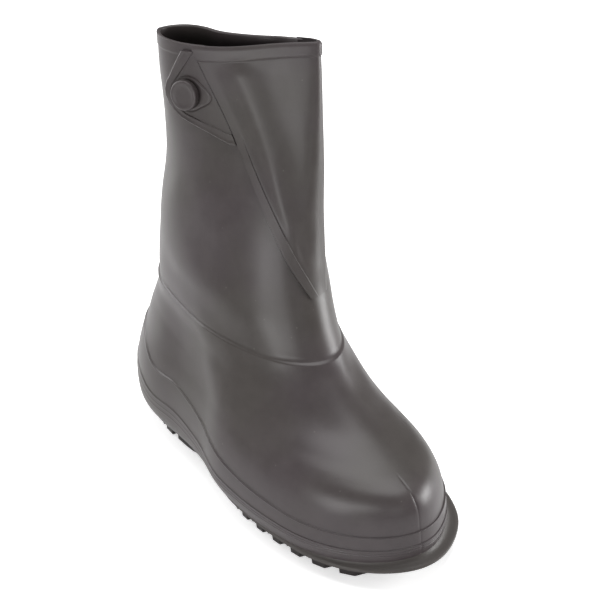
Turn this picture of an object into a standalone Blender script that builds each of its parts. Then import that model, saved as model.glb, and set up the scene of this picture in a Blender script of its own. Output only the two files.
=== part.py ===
"""Winter overshoe for the right foot: a hollow rubber upper on a studded, lugged sole, buttoned at the side.

Lengths are in metres. +X points to the toe, +Z up and +Y to the inner (medial) side of the foot.
Everything is drawn from the rear of the heel, and one empty puts the origin under the middle of the shoe.
"""
import math
from collections import namedtuple

import bmesh
import bpy
import numpy as np
from mathutils import Matrix, Vector

# Driving sizes
MM = 0.001
LENGTH = 321.5 * MM        # heel bulge to the lip of the toe
HEEL_BULGE = 10 * MM       # how far the heel swells behind the rear of the sole
AXIS_SHIFT = 3.9 * MM      # the heel-to-toe line lies this far to the inner side of the middle
WALL = 2.2 * MM            # rubber of the upper
GAP = 0.3 * MM             # clearance between pieces that touch
LUG_HEIGHT = 6.5 * MM      # ground to the floor of the tread
SOLE_TOP = 13 * MM         # ground to the top of the sole plate
TOE_SPRING = 4.5 * MM      # rise of the plate at the tip of the toe
SPRING_START = 262 * MM    # where the toe starts to rise
FOOT_STEP = 1.0 * MM       # extra rubber of the foot overlay below its seam
RAND_STEP = 0.8 * MM       # extra rubber of the rand above the sole
MIDDLE_STEP = 0.5 * MM     # extra rubber of the rand's lower half
RAND_MIDDLE = 0.6          # where the rand's middle step lies, as a share of its height
STEP_SLOPE = 0.015         # share of a band that its step takes
FLAP_THICK = 2.4 * MM
BAND_RISE = 0.9 * MM       # raised bands along the collar and the free edge of the flap
TAB_THICK = 1.9 * MM
TAB_BORDER_RISE = 0.9 * MM
BUTTON_RADIUS = 10.6 * MM
BUTTON_HEAD = 5.0 * MM
BUTTON_RIM = 1.3 * MM      # radius of the head's rounded rim
RIM_STEPS = 3
FACE_HOLLOW = 0.3 * MM
BUTTON_STEPS = 22
STEM_RADIUS = 4.2 * MM
STUD_RADIUS = 1.6 * MM
BOSS_RADIUS = 4.7 * MM
BOSS_DRAFT = 0.5 * MM      # how much wider a boss, a lug and a bar are at their roots
LUG_DRAFT = 0.8 * MM
BAR_DRAFT = 0.3 * MM
BAR_WIDTH = 7.4 * MM
INSOLE_THICK = 2.0 * MM
EDGE_INSET = 0.4 * MM      # the tread's blocks stop this far inside the edge of the plate
TREAD_ROOT = 1.0 * MM      # how far the tread's blocks reach up into the plate
BUTTON_LEVEL = 14.16       # the button's place on the shaft: ring level and angle round from the rear
BUTTON_ANGLE = math.radians(66.5)
FLAP_COLUMNS = 10
FLAP_GAP = 0.5 * MM        # a little more than GAP, because the flap's facets cross those of the shaft
FLAP_ROLL = 1.6 * MM       # height of the soft roll behind the flap's edge
COLLAR_BAND = 14.75        # ring level of the lower line of the collar's band
STUD_DEPTH = 5.5 * MM
STUD_SETBACK = 6 * MM      # from the inner end of a lug to its stud
INSOLE_INSET = 2.2 * MM    # from the inside of the wall to the edge of the insole
HEEL_CENTRE = math.radians(50)   # where the heel swells most, round the ring from the rear
AROUND = 48                # points round each ring
# Ring levels drawn above the seam
SHAFT_LEVELS = [9.5, 10, 10.5, 11, 11.5, 12, 12.5, 13, 13.5, 14, 14.25, 14.5, 14.75, 15]
RUBBER = (0.105, 0.090, 0.086)
SOLE_RUBBER = (0.050, 0.045, 0.042)

# Half width of the last at a share of its length, against the widest half width of that side
Plan = namedtuple("Plan", "along lateral medial")
LAST_PLAN = [
    Plan(0.00, 1.28, 1.35),
    Plan(0.14, 1.14, 1.07),
    Plan(0.33, 0.89, 0.74),
    Plan(0.44, 0.90, 0.63),
    Plan(0.53, 1.00, 0.80),
    Plan(0.63, 1.04, 1.00),
    Plan(0.74, 1.08, 1.13),
    Plan(0.83, 1.12, 1.24),
    Plan(0.91, 1.11, 1.28),
    Plan(1.00, 1.04, 1.15),
]

# Rings of the upper from the sole to the collar, in millimetres.
# last is 1 where a ring keeps the plan of the foot and 0 where it is an ellipse.
# pinch narrows a ring towards its front and fills it out at the rear.
# heel is how far the outer rear quarter swells out over that plan.
Ring = namedtuple("Ring", "name front_x front_y front_z rear_x rear_y rear_z lateral medial last pinch heel")
RINGS = [
    Ring("welt",       301.0, 0,  13.3,  0.5,   0,  13.3, 62.5, 53.5, 1.00, 0.0,  2.0),
    Ring("rand",       301.5, 0,  24.0, -1.0,   0,  24.0, 64.0, 55.0, 1.00, 0.0,  6.2),
    Ring("rand_top",   300.5, 0,  36.0, -2.0,   0,  36.0, 63.5, 54.5, 1.00, 0.0,  7.4),
    Ring("toe_wall",   298.5, 0,  50.0, -2.2,   0,  50.0, 61.0, 52.0, 0.97, 0.0,  8.0),
    Ring("toe_brow",   292.0, 0,  60.0, -1.5,   0,  62.0, 57.5, 49.0, 0.92, 0.0,  7.4),
    Ring("toe_top",    280.0, 0,  66.0,  0.0,   0,  74.0, 53.5, 46.0, 0.85, 0.0,  6.2),
    Ring("vamp_low",   261.0, 0,  72.0,  1.0,   0,  85.0, 50.0, 43.5, 0.72, 0.0,  5.0),
    Ring("vamp",       237.0, 0,  81.0,  4.0,   0,  96.0, 46.5, 42.0, 0.58, 0.0,  4.1),
    Ring("vamp_high",  213.0, 1,  95.0,  6.0,   0, 105.0, 43.5, 41.0, 0.42, 0.0,  3.5),
    Ring("seam",       191.5, 3, 113.0,  7.0,  -1, 114.0, 42.0, 40.0, 0.28, 0.0,  3.5),
    Ring("ankle",      174.0, 7, 138.0,  8.0,  -2, 128.0, 41.0, 40.0, 0.14, 0.0,  3.5),
    Ring("shaft_low",  159.5, 13, 163.0,  8.5, -4, 148.0, 39.5, 39.5, 0.04, 0.0,  3.0),
    Ring("shaft_mid",  148.0, 22, 194.0, 10.0, -6, 176.0, 36.0, 36.0, 0.00, 0.1,  0.8),
    Ring("shaft",      137.5, 33, 230.0, 13.0, -9, 212.0, 30.0, 30.0, 0.00, 0.35, -3.0),
    Ring("shaft_high", 126.5, 42, 268.0, 13.0, -12, 254.0, 23.0, 23.5, 0.00, 0.8, -2.0),
    Ring("collar",     116.5, 49, 303.0, 14.0, -14, 297.0, 17.5, 16.0, 0.00, 1.2, -2.0),
]
LEVEL = {ring.name: row for row, ring in enumerate(RINGS)}
LAST_COLUMN = Ring._fields.index("last") - 1


class Smooth:
    """A smooth curve through rows of numbers, whose slope at each row comes from its neighbours."""

    def __init__(self, places, rows):
        self.places = np.array(places, float)
        self.rows = np.array(rows, float)
        self.slopes = np.gradient(self.rows, self.places, axis=0)

    def __call__(self, place):
        place = min(max(place, self.places[0]), self.places[-1])
        low = min(int(np.searchsorted(self.places, place, side="right")) - 1, len(self.places) - 2)
        span = self.places[low + 1] - self.places[low]
        s = (place - self.places[low]) / span
        return ((2 * s ** 3 - 3 * s ** 2 + 1) * self.rows[low]
                + (s ** 3 - 2 * s ** 2 + s) * span * self.slopes[low]
                + (3 * s ** 2 - 2 * s ** 3) * self.rows[low + 1]
                + (s ** 3 - s ** 2) * span * self.slopes[low + 1])


plan_curve = Smooth([row.along for row in LAST_PLAN], [(row.lateral, row.medial) for row in LAST_PLAN])
ring_curve = Smooth(range(len(RINGS)), [ring[1:] for ring in RINGS])


def blend(low, high, value):
    """0 below low, 1 above high, and a soft step between them."""
    s = min(max((value - low) / (high - low), 0.0), 1.0)
    return s * s * (3 - 2 * s)


def spring(x):
    """Rise of the sole at x."""
    tip = LENGTH - HEEL_BULGE
    return TOE_SPRING * max((x - SPRING_START) / (tip - SPRING_START), 0.0) ** 2


def outline(angle, rear, front, lateral, medial, last=1.0, pinch=0.0):
    """A point of a shoe-shaped ring: angle 0 is the rear, 180 degrees the front, with the outer side first."""
    along = (1 - math.cos(angle)) / 2
    outer = math.sin(angle) >= 0
    share = plan_curve(along)[0 if outer else 1]
    round_share = 1 + pinch * (0.5 - along)
    half = (lateral if outer else medial) * (last * share + (1 - last) * round_share) * abs(math.sin(angle))
    spine = rear + (front - rear) * along
    ahead = Vector((front.x - rear.x, front.y - rear.y, 0)).normalized()
    side = Vector((ahead.y, -ahead.x, 0)) * (1 if outer else -1)
    return spine + side * half


def form(level, angle):
    """The middle surface of the upper, before its wall gets a thickness."""
    front_x, front_y, front_z, rear_x, rear_y, rear_z, lateral, medial, last, pinch, _ = ring_curve(level)
    return outline(angle, Vector((rear_x, rear_y, rear_z)) * MM, Vector((front_x, front_y, front_z)) * MM,
                   lateral * MM, medial * MM, last, pinch)


def outward(level, angle):
    """The direction square to the upper's surface, kept level along the sole's edge."""
    small = 0.02
    top = len(RINGS) - 1
    up = form(min(level + small, top), angle) - form(max(level - small, 0), angle)
    along = form(level, angle + small) - form(level, angle - small)
    normal = along.cross(up)
    normal.z *= blend(0, 1.5, level)
    return normal.normalized()


def swell(level, angle):
    """How far the heel swells out, most of all at the outer rear quarter."""
    heel = ring_curve(level)[-1] * MM
    return heel * ((1 + math.cos(angle - HEEL_CENTRE)) / 2) ** 2


# Height of the rand's top line, as a ring level at an angle in degrees round from the rear by the outer side
RandLine = namedtuple("RandLine", "angle level")
RAND_LINE = [
    RandLine(0, 4.9),
    RandLine(30, 4.75),
    RandLine(44, 4.3),
    RandLine(54, 3.65),
    RandLine(66, 3.7),
    RandLine(80, 3.3),
    RandLine(100, 2.5),
    RandLine(118, 2.2),
    RandLine(150, 2.05),
    RandLine(180, 2.0),
    RandLine(210, 1.95),
    RandLine(245, 2.3),
    RandLine(275, 3.2),
    RandLine(296, 3.6),
    RandLine(308, 3.65),
    RandLine(320, 4.3),
    RandLine(332, 4.75),
    RandLine(360, 4.9),
]
rand_curve = Smooth([row.angle for row in RAND_LINE], [(row.level,) for row in RAND_LINE])


def rand_line(angle):
    """Ring level of the rand's top line."""
    return float(rand_curve(math.degrees(angle) % 360)[0])


def skin(level, angle, out):
    """A point that lies out from the upper's plain surface, with the toe's rise."""
    point = form(level, angle) + outward(level, angle) * (swell(level, angle) + out)
    point.z += ring_curve(level)[LAST_COLUMN] * spring(point.x)
    return point


def new_object(name, mesh, material, collection):
    thing = bpy.data.objects.new(name, mesh)
    collection.objects.link(thing)
    thing.parent = place
    if material is not None:
        mesh.materials.append(material)
    return thing


def mesh_from(name, build):
    """A mesh from a function that fills a bmesh."""
    bm = bmesh.new()
    build(bm)
    bmesh.ops.remove_doubles(bm, verts=bm.verts, dist=0.00001)
    bmesh.ops.recalc_face_normals(bm, faces=bm.faces)
    mesh = bpy.data.meshes.new(name)
    bm.to_mesh(mesh)
    bm.free()
    return mesh


def bridge(bm, low, high, closed=True):
    """Quads between two rows of vertices."""
    count = len(low)
    for i in range(count if closed else count - 1):
        j = (i + 1) % count
        bm.faces.new((low[i], low[j], high[j], high[i]))


def angles():
    return [2 * math.pi * i / AROUND for i in range(AROUND)]


def soften(thing, degrees=35):
    thing.data.shade_smooth()
    thing.data.set_sharp_from_angle(angle=math.radians(degrees))


def rubber(name, colour, roughness=0.48):
    material = bpy.data.materials.new(name)
    material.use_nodes = True
    shader = material.node_tree.nodes["Principled BSDF"]
    shader.inputs["Base Color"].default_value = (*colour, 1)
    shader.inputs["Roughness"].default_value = roughness
    material.diffuse_color = (*colour, 1)
    return material


def outer_rows():
    """Rows of the upper's outer face: where each lies at an angle, and how far it stands out.

    Two rows lie close together at each step: the middle and the top of the rand, and the foot overlay's seam.
    """
    seam = LEVEL["seam"]
    rows = []
    for share in (0, 0.3, RAND_MIDDLE - STEP_SLOPE):
        rows.append((lambda a, s=share: rand_line(a) * s, FOOT_STEP + RAND_STEP + MIDDLE_STEP))
    for share in (RAND_MIDDLE, 0.8, 1 - STEP_SLOPE):
        rows.append((lambda a, s=share: rand_line(a) * s, FOOT_STEP + RAND_STEP))
    for share in (0, 0.07, 0.15, 0.24, 0.33, 0.43, 0.55, 0.7, 0.85, 1 - STEP_SLOPE / 3):
        rows.append((lambda a, s=share: rand_line(a) + (seam - rand_line(a)) * s, FOOT_STEP))
    for level in [seam] + SHAFT_LEVELS:
        rows.append((lambda a, fixed=level: fixed, 0))
    return rows


def make_upper():
    """One hollow wall: the outer rings go up from the sole to the collar and the inner rings come down."""
    inner_levels = range(len(RINGS))

    def build(bm):
        rows = []
        for level_at, step in outer_rows():
            rows.append([bm.verts.new(skin(level_at(a), a, step)) for a in angles()])
        for level in reversed(inner_levels):
            rows.append([bm.verts.new(skin(level, a, -WALL)) for a in angles()])
        for low, high in zip(rows, rows[1:] + rows[:1]):
            bridge(bm, low, high)

    thing = new_object("upper", mesh_from("upper", build), rubber("upper_rubber", RUBBER), parts)
    soften(thing)
    return thing


# Rings of the sole plate from its floor to its top, in millimetres
Edge = namedtuple("Edge", "name height rear front lateral medial")
SOLE_EDGE = [
    Edge("floor",    6.5,  3.0, 300.0, 60.5, 53.5),
    Edge("sidewall", 9.5,  1.0, 303.0, 62.5, 55.5),
    Edge("lip",     11.0, -3.0, 311.5, 65.5, 63.0),
    Edge("ledge",   12.6, -3.0, 311.5, 65.5, 63.2),
    Edge("top",     13.0, -2.0, 310.5, 64.8, 62.5),
]


def edge_point(edge, angle, height=None):
    z = (edge.height if height is None else height) * MM
    point = outline(angle, Vector((edge.rear * MM, 0, z)), Vector((edge.front * MM, 0, z)),
                    edge.lateral * MM, edge.medial * MM)
    point.z += spring(point.x)
    return point


def tread_edge(x, outer):
    """How far the tread reaches to one side at x."""
    floor = SOLE_EDGE[0]
    along = (x - floor.rear * MM) / ((floor.front - floor.rear) * MM)
    angle = math.acos(1 - 2 * along)
    return edge_point(floor, angle if outer else -angle).y


def make_plate():
    """The sole plate: rings bridged up its side, with its floor and top filled from side to side."""

    def build(bm):
        rows = [[bm.verts.new(edge_point(edge, a)) for a in angles()] for edge in SOLE_EDGE]
        for low, high in zip(rows, rows[1:]):
            bridge(bm, low, high)
        for ring in (rows[0], rows[-1]):
            half = AROUND // 2
            for i in range(half):
                corners = [ring[i], ring[i + 1], ring[-i - 1], ring[-i]]
                bm.faces.new(list(dict.fromkeys(corners)))

    return new_object("outsole", mesh_from("outsole", build), rubber("sole_rubber", SOLE_RUBBER, 0.6), parts)


def prism(bm, corners, top, draft=0.0):
    """A block on the ground under the plan corners, a little wider at its root. It follows the toe's rise."""
    middle = sum((Vector(c) for c in corners), Vector((0, 0))) / len(corners)
    low = []
    high = []
    for corner in corners:
        corner = Vector(corner)
        root = corner + (corner - middle).normalized() * draft
        low.append(bm.verts.new((corner.x, corner.y, spring(corner.x))))
        high.append(bm.verts.new((root.x, root.y, top + spring(root.x))))
    bridge(bm, low, high)
    bm.faces.new(low)
    bm.faces.new(high)


# Lugs along the edge of the tread: the middle and length of their outer and inner ends, in millimetres
Lug = namedtuple("Lug", "outer outer_length inner inner_length inner_y stud")
LATERAL_LUGS = [
    Lug(272.5, 9, 273.0, 17, -18, False),
    Lug(253.5, 9, 254.8, 16, -28, True),
    Lug(234.5, 8, 236.5, 13, -34, False),
    Lug(215.8, 7, 218.5, 12, -38, True),
    Lug(198.0, 7, 201.0, 11, -40, False),
    Lug(180.5, 6, 183.5, 12, -41, True),
    Lug(61.5, 9, 61.5, 12, -31, False),
    Lug(47.0, 8, 47.0, 9, -29, False),
    Lug(33.5, 8, 32.0, 10, -24, False),
]
MEDIAL_LUGS = [
    Lug(278.5, 11, 278.0, 16, 22, False),
    Lug(263.5, 10, 261.0, 13, 29, True),
    Lug(247.5, 10, 244.3, 12, 32, False),
    Lug(230.5, 10, 228.0, 12, 33, True),
    Lug(213.0, 10, 210.7, 12, 33, False),
    Lug(195.0, 12, 193.5, 14, 31, True),
    Lug(73.5, 10, 74.0, 12, 24, False),
    Lug(59.5, 9, 60.0, 11, 25, False),
    Lug(45.0, 9, 44.6, 12, 25, False),
]
# Round bosses with a stud each, in millimetres
BOSSES = [
    (272, -8), (275, 13), (242, -22), (248, -1), (246, 20), (210, -27), (220, -3), (216, 22),
    (186, -26), (191, -5), (191, 18),
    (63, -19), (74, -3), (35, -14), (71, 14), (45, -1), (42, 15), (15, 3),
]
# Bent bars of the tread, in millimetres: outer end, bend, inner end
BARS = [
    [(257, -19), (264, 0), (259, 19)],
    [(226, -28), (236, -2), (231, 22)],
    [(197, -30), (206, -3), (202, 20)],
    [(48, -20), (60, -3), (57, 17)],
    [(24, -8), (31, 2), (29, 10)],
]


def lug_corners(lug, outer):
    corners = []
    for sign in (1, -1):
        x = (lug.outer + sign * lug.outer_length / 2) * MM
        inset = EDGE_INSET if outer else -EDGE_INSET
        corners.append((x, tread_edge(x, outer) + inset))
    for sign in (-1, 1):
        corners.append(((lug.inner + sign * lug.inner_length / 2) * MM, lug.inner_y * MM))
    return corners


def bar_corners(points, width, steps=4):
    """The outline of a bent bar with round ends."""
    points = [Vector(p) * MM for p in points]
    sides = []
    for a, b in zip(points, points[1:]):
        way = (b - a).normalized()
        sides.append(Vector((-way.y, way.x)) * width / 2)
    mitre = (sides[0] + sides[1]).normalized() * (width / 2) / math.cos(sides[0].angle(sides[1]) / 2)
    corners = []
    for end, side, sign in ((points[0], sides[0], 1), (points[2], sides[1], -1)):
        for i in range(steps + 1):
            turn = Matrix.Rotation(math.pi * i / steps, 2)
            corners.append(end + turn @ (side * sign))
        corners.append(points[1] - mitre * sign)
    return [tuple(c) for c in corners]


def stud_places():
    """Every stud's place: one in each boss and in every second edge lug."""
    places = [(x * MM, y * MM) for x, y in BOSSES]
    for lugs, sign in ((LATERAL_LUGS, -1), (MEDIAL_LUGS, 1)):
        for lug in lugs:
            if lug.stud:
                places.append((lug.inner * MM, lug.inner_y * MM + sign * STUD_SETBACK))
    return sorted(places, reverse=True)


# The waist between heel and forefoot, in millimetres: its sides run between these stations along the shoe,
# its two ends go through a few points across the shoe, and its underside rises in an arch
WAIST_OUTER = [171, 150, 130, 110, 90, 74]
WAIST_INNER = [91, 110, 130, 150, 170, 185]
WAIST_FRONT = [(184, 26), (178, 20), (179, -6), (173, -33)]
WAIST_REAR = [(76, -27), (86, -4), (87, 19)]
Rise = namedtuple("Rise", "x height")
ARCH_RISE = [Rise(70, 1.5), Rise(92, 1.5), Rise(112, 7), Rise(150, 7), Rise(172, 1.5), Rise(190, 1.5)]
WAIST_SLICE = 8            # spacing of the sections that bend the underside


def make_waist(bm):
    """The solid waist between heel and forefoot, whose underside rises in an arch."""
    rise = Smooth([row.x for row in ARCH_RISE], [(row.height,) for row in ARCH_RISE])
    corners = [(x * MM, tread_edge(x * MM, True) + EDGE_INSET) for x in WAIST_OUTER]
    corners += [(x * MM, y * MM) for x, y in WAIST_REAR]
    corners += [(x * MM, tread_edge(x * MM, False) - EDGE_INSET) for x in WAIST_INNER]
    corners += [(x * MM, y * MM) for x, y in WAIST_FRONT]
    prism(bm, corners, LUG_HEIGHT + TREAD_ROOT)
    for x in range(WAIST_OUTER[-1] + WAIST_SLICE, WAIST_INNER[-1], WAIST_SLICE):
        bmesh.ops.bisect_plane(bm, geom=bm.verts[:] + bm.edges[:] + bm.faces[:], dist=0.000001,
                               plane_co=(x * MM, 0, 0), plane_no=(1, 0, 0))
    for vert in bm.verts:
        if vert.co.z < LUG_HEIGHT / 2:
            vert.co.z = float(rise(vert.co.x / MM)[0]) * MM


def boss(bm, x, y):
    ring = [(x + BOSS_RADIUS * math.cos(a), y + BOSS_RADIUS * math.sin(a))
            for a in (2 * math.pi * i / 14 for i in range(14))]
    prism(bm, ring, LUG_HEIGHT + TREAD_ROOT, draft=BOSS_DRAFT)


def boolean(thing, tool, operation):
    cut = thing.modifiers.new(operation.lower(), "BOOLEAN")
    cut.operation = operation
    cut.object = tool
    cut.solver = "EXACT"


def make_outsole():
    """One moulded sole: the plate, the waist and every lug, bar and boss, drilled for the studs."""
    sole = make_plate()
    root = LUG_HEIGHT + TREAD_ROOT

    def tread(bm):
        for lug in LATERAL_LUGS:
            prism(bm, lug_corners(lug, True), root, draft=LUG_DRAFT)
        for lug in MEDIAL_LUGS:
            prism(bm, lug_corners(lug, False), root, draft=LUG_DRAFT)
        for points in BARS:
            prism(bm, bar_corners(points, BAR_WIDTH), root, draft=BAR_DRAFT)
        for x, y in BOSSES:
            boss(bm, x * MM, y * MM)

    boolean(sole, cutter("tread_blocks", tread), "UNION")
    boolean(sole, cutter("waist_block", make_waist), "UNION")

    def holes(bm):
        for x, y in stud_places():
            hole = bmesh.ops.create_cone(bm, cap_ends=True, segments=10, radius1=STUD_RADIUS + GAP,
                                         radius2=STUD_RADIUS + GAP, depth=2 * STUD_DEPTH)
            bmesh.ops.translate(bm, verts=hole["verts"], vec=(x, y, spring(x) + GAP))

    boolean(sole, cutter("stud_holes", holes), "DIFFERENCE")
    soften(sole, 25)
    return sole


def make_studs():
    """Pressed-in ice studs, flush with the face of the tread."""
    metal = rubber("stud_metal", (0.55, 0.53, 0.48), 0.35)
    metal.node_tree.nodes["Principled BSDF"].inputs["Metallic"].default_value = 1.0

    def build(bm):
        bmesh.ops.create_cone(bm, cap_ends=True, segments=10, radius1=STUD_RADIUS, radius2=STUD_RADIUS,
                              depth=STUD_DEPTH)
        bmesh.ops.translate(bm, verts=bm.verts, vec=(0, 0, STUD_DEPTH / 2))

    mesh = mesh_from("stud", build)
    mesh.materials.append(metal)
    for number, (x, y) in enumerate(stud_places(), 1):
        stud = new_object(f"stud_{number:02d}", mesh, None, parts)
        stud.location = (x, y, spring(x))
        soften(stud)


def cutter(name, build):
    thing = new_object(name, mesh_from(name, build), None, cutters)
    thing.hide_render = True
    thing.display_type = "WIRE"
    return thing


def make_insole():
    """A thin sheet on the sole plate, inside the foot of the wall."""
    inset = WALL + INSOLE_INSET
    welt = RINGS[0]

    def ring_at(height):
        edge = Edge("insole", height / MM, welt.rear_x + inset / MM, welt.front_x - inset / MM,
                    welt.lateral - inset / MM, welt.medial - inset / MM)
        return [edge_point(edge, a) for a in angles()]

    def build(bm):
        base = SOLE_TOP + GAP
        rows = [[bm.verts.new(p) for p in ring_at(z)] for z in (base, base + INSOLE_THICK)]
        bridge(bm, *rows)
        for ring in rows:
            for i in range(AROUND // 2):
                corners = [ring[i], ring[i + 1], ring[-i - 1], ring[-i]]
                bm.faces.new(list(dict.fromkeys(corners)))

    cloth = rubber("insole_cloth", (0.03, 0.027, 0.025), 0.85)
    thing = new_object("insole", mesh_from("insole", build), cloth, parts)
    soften(thing)
    return thing


# The flap at a ring level: angles round the shaft of its free edge, its band's inner line and its far end
FlapRow = namedtuple("FlapRow", "level edge band end")
FLAP_ROWS = [
    FlapRow(10.4, 176, 184, 200),
    FlapRow(11.0, 162, 171, 206),
    FlapRow(12.0, 139.5, 147.5, 214),
    FlapRow(13.0, 113.5, 119.5, 219),
    FlapRow(14.0, 90.0, 96, 223),
    FlapRow(15.0, 66.5, 72.5, 226),
]
FLAP_LEVELS = [10.4, 10.7, 11.0, 11.3, 11.5, 11.75, 12, 12.25, 12.5, 12.75, 13, 13.25, 13.5, 13.75, 14, 14.25,
               14.5, COLLAR_BAND, 15]
flap_curve = Smooth([row.level for row in FLAP_ROWS], [row[1:] for row in FLAP_ROWS])


def flap_columns(level):
    """Angles across the flap: its edge band, then even steps to its far end."""
    edge, band, end = (math.radians(v) for v in flap_curve(level))
    columns = [edge, band - 0.008, band]
    return columns + [band + (end - band) * i / FLAP_COLUMNS for i in range(1, FLAP_COLUMNS + 1)]


def flap_height(level, column):
    """How thick the flap is: raised bands, a soft roll behind its edge, and a thin far end."""
    far = blend(0.72, 1, (column - 2) / FLAP_COLUMNS)
    roll = FLAP_ROLL * math.exp(-((column - 4.2) / 1.5) ** 2) * (1 - blend(14.2, 14.7, level))
    banded = column < 2 or level > COLLAR_BAND
    return (FLAP_THICK + roll) * (1 - 0.75 * far) + (BAND_RISE * (1 - far) if banded else 0)


def make_flap():
    """The fold that laps over the shaft from the front, with a raised band on its collar and free edge."""
    levels = FLAP_LEVELS + [COLLAR_BAND + STEP_SLOPE]
    levels.sort()

    def build(bm):
        outer = []
        inner = []
        for level in levels:
            columns = flap_columns(level)
            outer.append([bm.verts.new(skin(level, angle, FLAP_GAP + flap_height(level, column)))
                          for column, angle in enumerate(columns)])
            inner.append([bm.verts.new(skin(level, angle, FLAP_GAP)) for angle in columns])
        for rows in (outer, inner):
            for low, high in zip(rows, rows[1:]):
                bridge(bm, low, high, closed=False)
        bridge(bm, outer[0], inner[0], closed=False)
        bridge(bm, outer[-1], inner[-1], closed=False)
        for column in (0, -1):
            bridge(bm, [row[column] for row in outer], [row[column] for row in inner], closed=False)

    thing = new_object("closure_flap", mesh_from("closure_flap", build), rubber("flap_rubber", RUBBER), parts)
    soften(thing)
    return thing


def shaft_rule():
    """Arc length round the shaft at the button's height, against the angle, with zero at the button."""
    turns = [math.radians(d) for d in range(20, 130, 2)]
    points = [skin(BUTTON_LEVEL, a, 0) for a in turns]
    lengths = [0.0]
    for low, high in zip(points, points[1:]):
        lengths.append(lengths[-1] + (high - low).length)
    start = float(np.interp(BUTTON_ANGLE, turns, lengths))
    return turns, [length - start for length in lengths]


SHAFT_RULE = shaft_rule()


def on_shaft(around, height, out):
    """A point on the shaft from millimetres towards the front and up from the button."""
    turns, lengths = SHAFT_RULE
    angle = float(np.interp(around * MM, lengths, turns))
    goal = form(BUTTON_LEVEL, BUTTON_ANGLE).z + height * MM
    level = BUTTON_LEVEL
    for _ in range(4):
        z = form(level, angle).z
        level += (goal - z) / ((form(level + 0.1, angle).z - z) / 0.1)
        level = min(level, len(RINGS) - 1.11)
    return skin(level, angle, out), level, angle


def flap_edge_around(height):
    """Where the flap's free edge lies at a height, in millimetres from the button."""
    turns, lengths = SHAFT_RULE
    around = 20.0
    for _ in range(6):
        _, level, _ = on_shaft(around, height, 0)
        edge = math.radians(flap_curve(level)[0])
        around = float(np.interp(edge, turns, lengths)) / MM
    return around


# The tab's rear outline, in millimetres towards the front and up from the button
TabRow = namedtuple("TabRow", "height rear")
TAB_ROWS = [
    TabRow(-25.5, 35.0),
    TabRow(-24.0, 27.0),
    TabRow(-22.0, 16.0),
    TabRow(-20.0, 4.5),
    TabRow(-18.3, -3.5),
    TabRow(-15.0, -10.5),
    TabRow(-10.0, -15.5),
    TabRow(-5.0, -18.0),
    TabRow(0.0, -18.7),
    TabRow(5.0, -17.7),
    TabRow(10.0, -14.8),
    TabRow(17.0, -10.6),
    TabRow(25.0, -5.8),
    TabRow(31.0, -2.2),
]
# The rear outline of the recess inside the tab's raised border, measured in the same way
RECESS_ROWS = [
    TabRow(-20.6, 32.0),
    TabRow(-19.0, 24.0),
    TabRow(-17.5, 16.0),
    TabRow(-16.0, 8.5),
    TabRow(-14.3, -1.5),
    TabRow(-11.5, -7.5),
    TabRow(-8.0, -11.5),
    TabRow(-4.0, -13.6),
    TabRow(0.0, -14.3),
    TabRow(4.0, -13.5),
    TabRow(9.0, -10.4),
    TabRow(16.0, -6.0),
    TabRow(23.5, -1.6),
]
TAB_COLUMNS = 8
TAB_MARGIN = 0.5 * MM      # between the tab and the flap's free edge
RECESS_OVERRUN = 3 * MM    # how far the recess is cut past the tab, at its front and above it


def patch(bm, rows, low, high, margin):
    """A curved plate on the shaft between the rows' rear ends and the flap's edge."""
    sheets = []
    for out in (low, high):
        grid = []
        for height, rear in rows:
            front = flap_edge_around(height) - margin / MM
            line = [rear + (front - rear) * i / TAB_COLUMNS for i in range(TAB_COLUMNS + 1)]
            grid.append([bm.verts.new(on_shaft(around, height, out)[0]) for around in line])
        for below, above in zip(grid, grid[1:]):
            bridge(bm, below, above, closed=False)
        sheets.append(grid)
    inner, outer = sheets
    for row in (0, -1):
        bridge(bm, inner[row], outer[row], closed=False)
    for column in (0, -1):
        bridge(bm, [line[column] for line in inner], [line[column] for line in outer], closed=False)


def make_tab():
    """The triangular tab with a raised border, which runs out from the flap's edge to the button."""
    full = TAB_THICK + TAB_BORDER_RISE

    def plate(bm):
        patch(bm, TAB_ROWS, GAP, GAP + full, TAB_MARGIN)

    def recess(bm):
        patch(bm, RECESS_ROWS, GAP + TAB_THICK, GAP + full + RECESS_OVERRUN / 2, -RECESS_OVERRUN)

    def stem_hole(bm):
        hole = bmesh.ops.create_cone(bm, cap_ends=True, segments=20, radius1=STEM_RADIUS + 2 * GAP,
                                     radius2=STEM_RADIUS + 2 * GAP, depth=4 * BUTTON_HEAD)
        bmesh.ops.transform(bm, verts=hole["verts"], matrix=button_frame())

    tab = new_object("closure_tab", mesh_from("closure_tab", plate), rubber("tab_rubber", RUBBER), parts)
    boolean(tab, cutter("tab_recess", recess), "DIFFERENCE")
    boolean(tab, cutter("tab_hole", stem_hole), "DIFFERENCE")
    soften(tab)
    return tab


def button_frame():
    """The button's axis: it stands square on the shaft."""
    base = skin(BUTTON_LEVEL, BUTTON_ANGLE, 0)
    turn = outward(BUTTON_LEVEL, BUTTON_ANGLE).to_track_quat("Z", "Y")
    return Matrix.Translation(base) @ turn.to_matrix().to_4x4()


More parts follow.
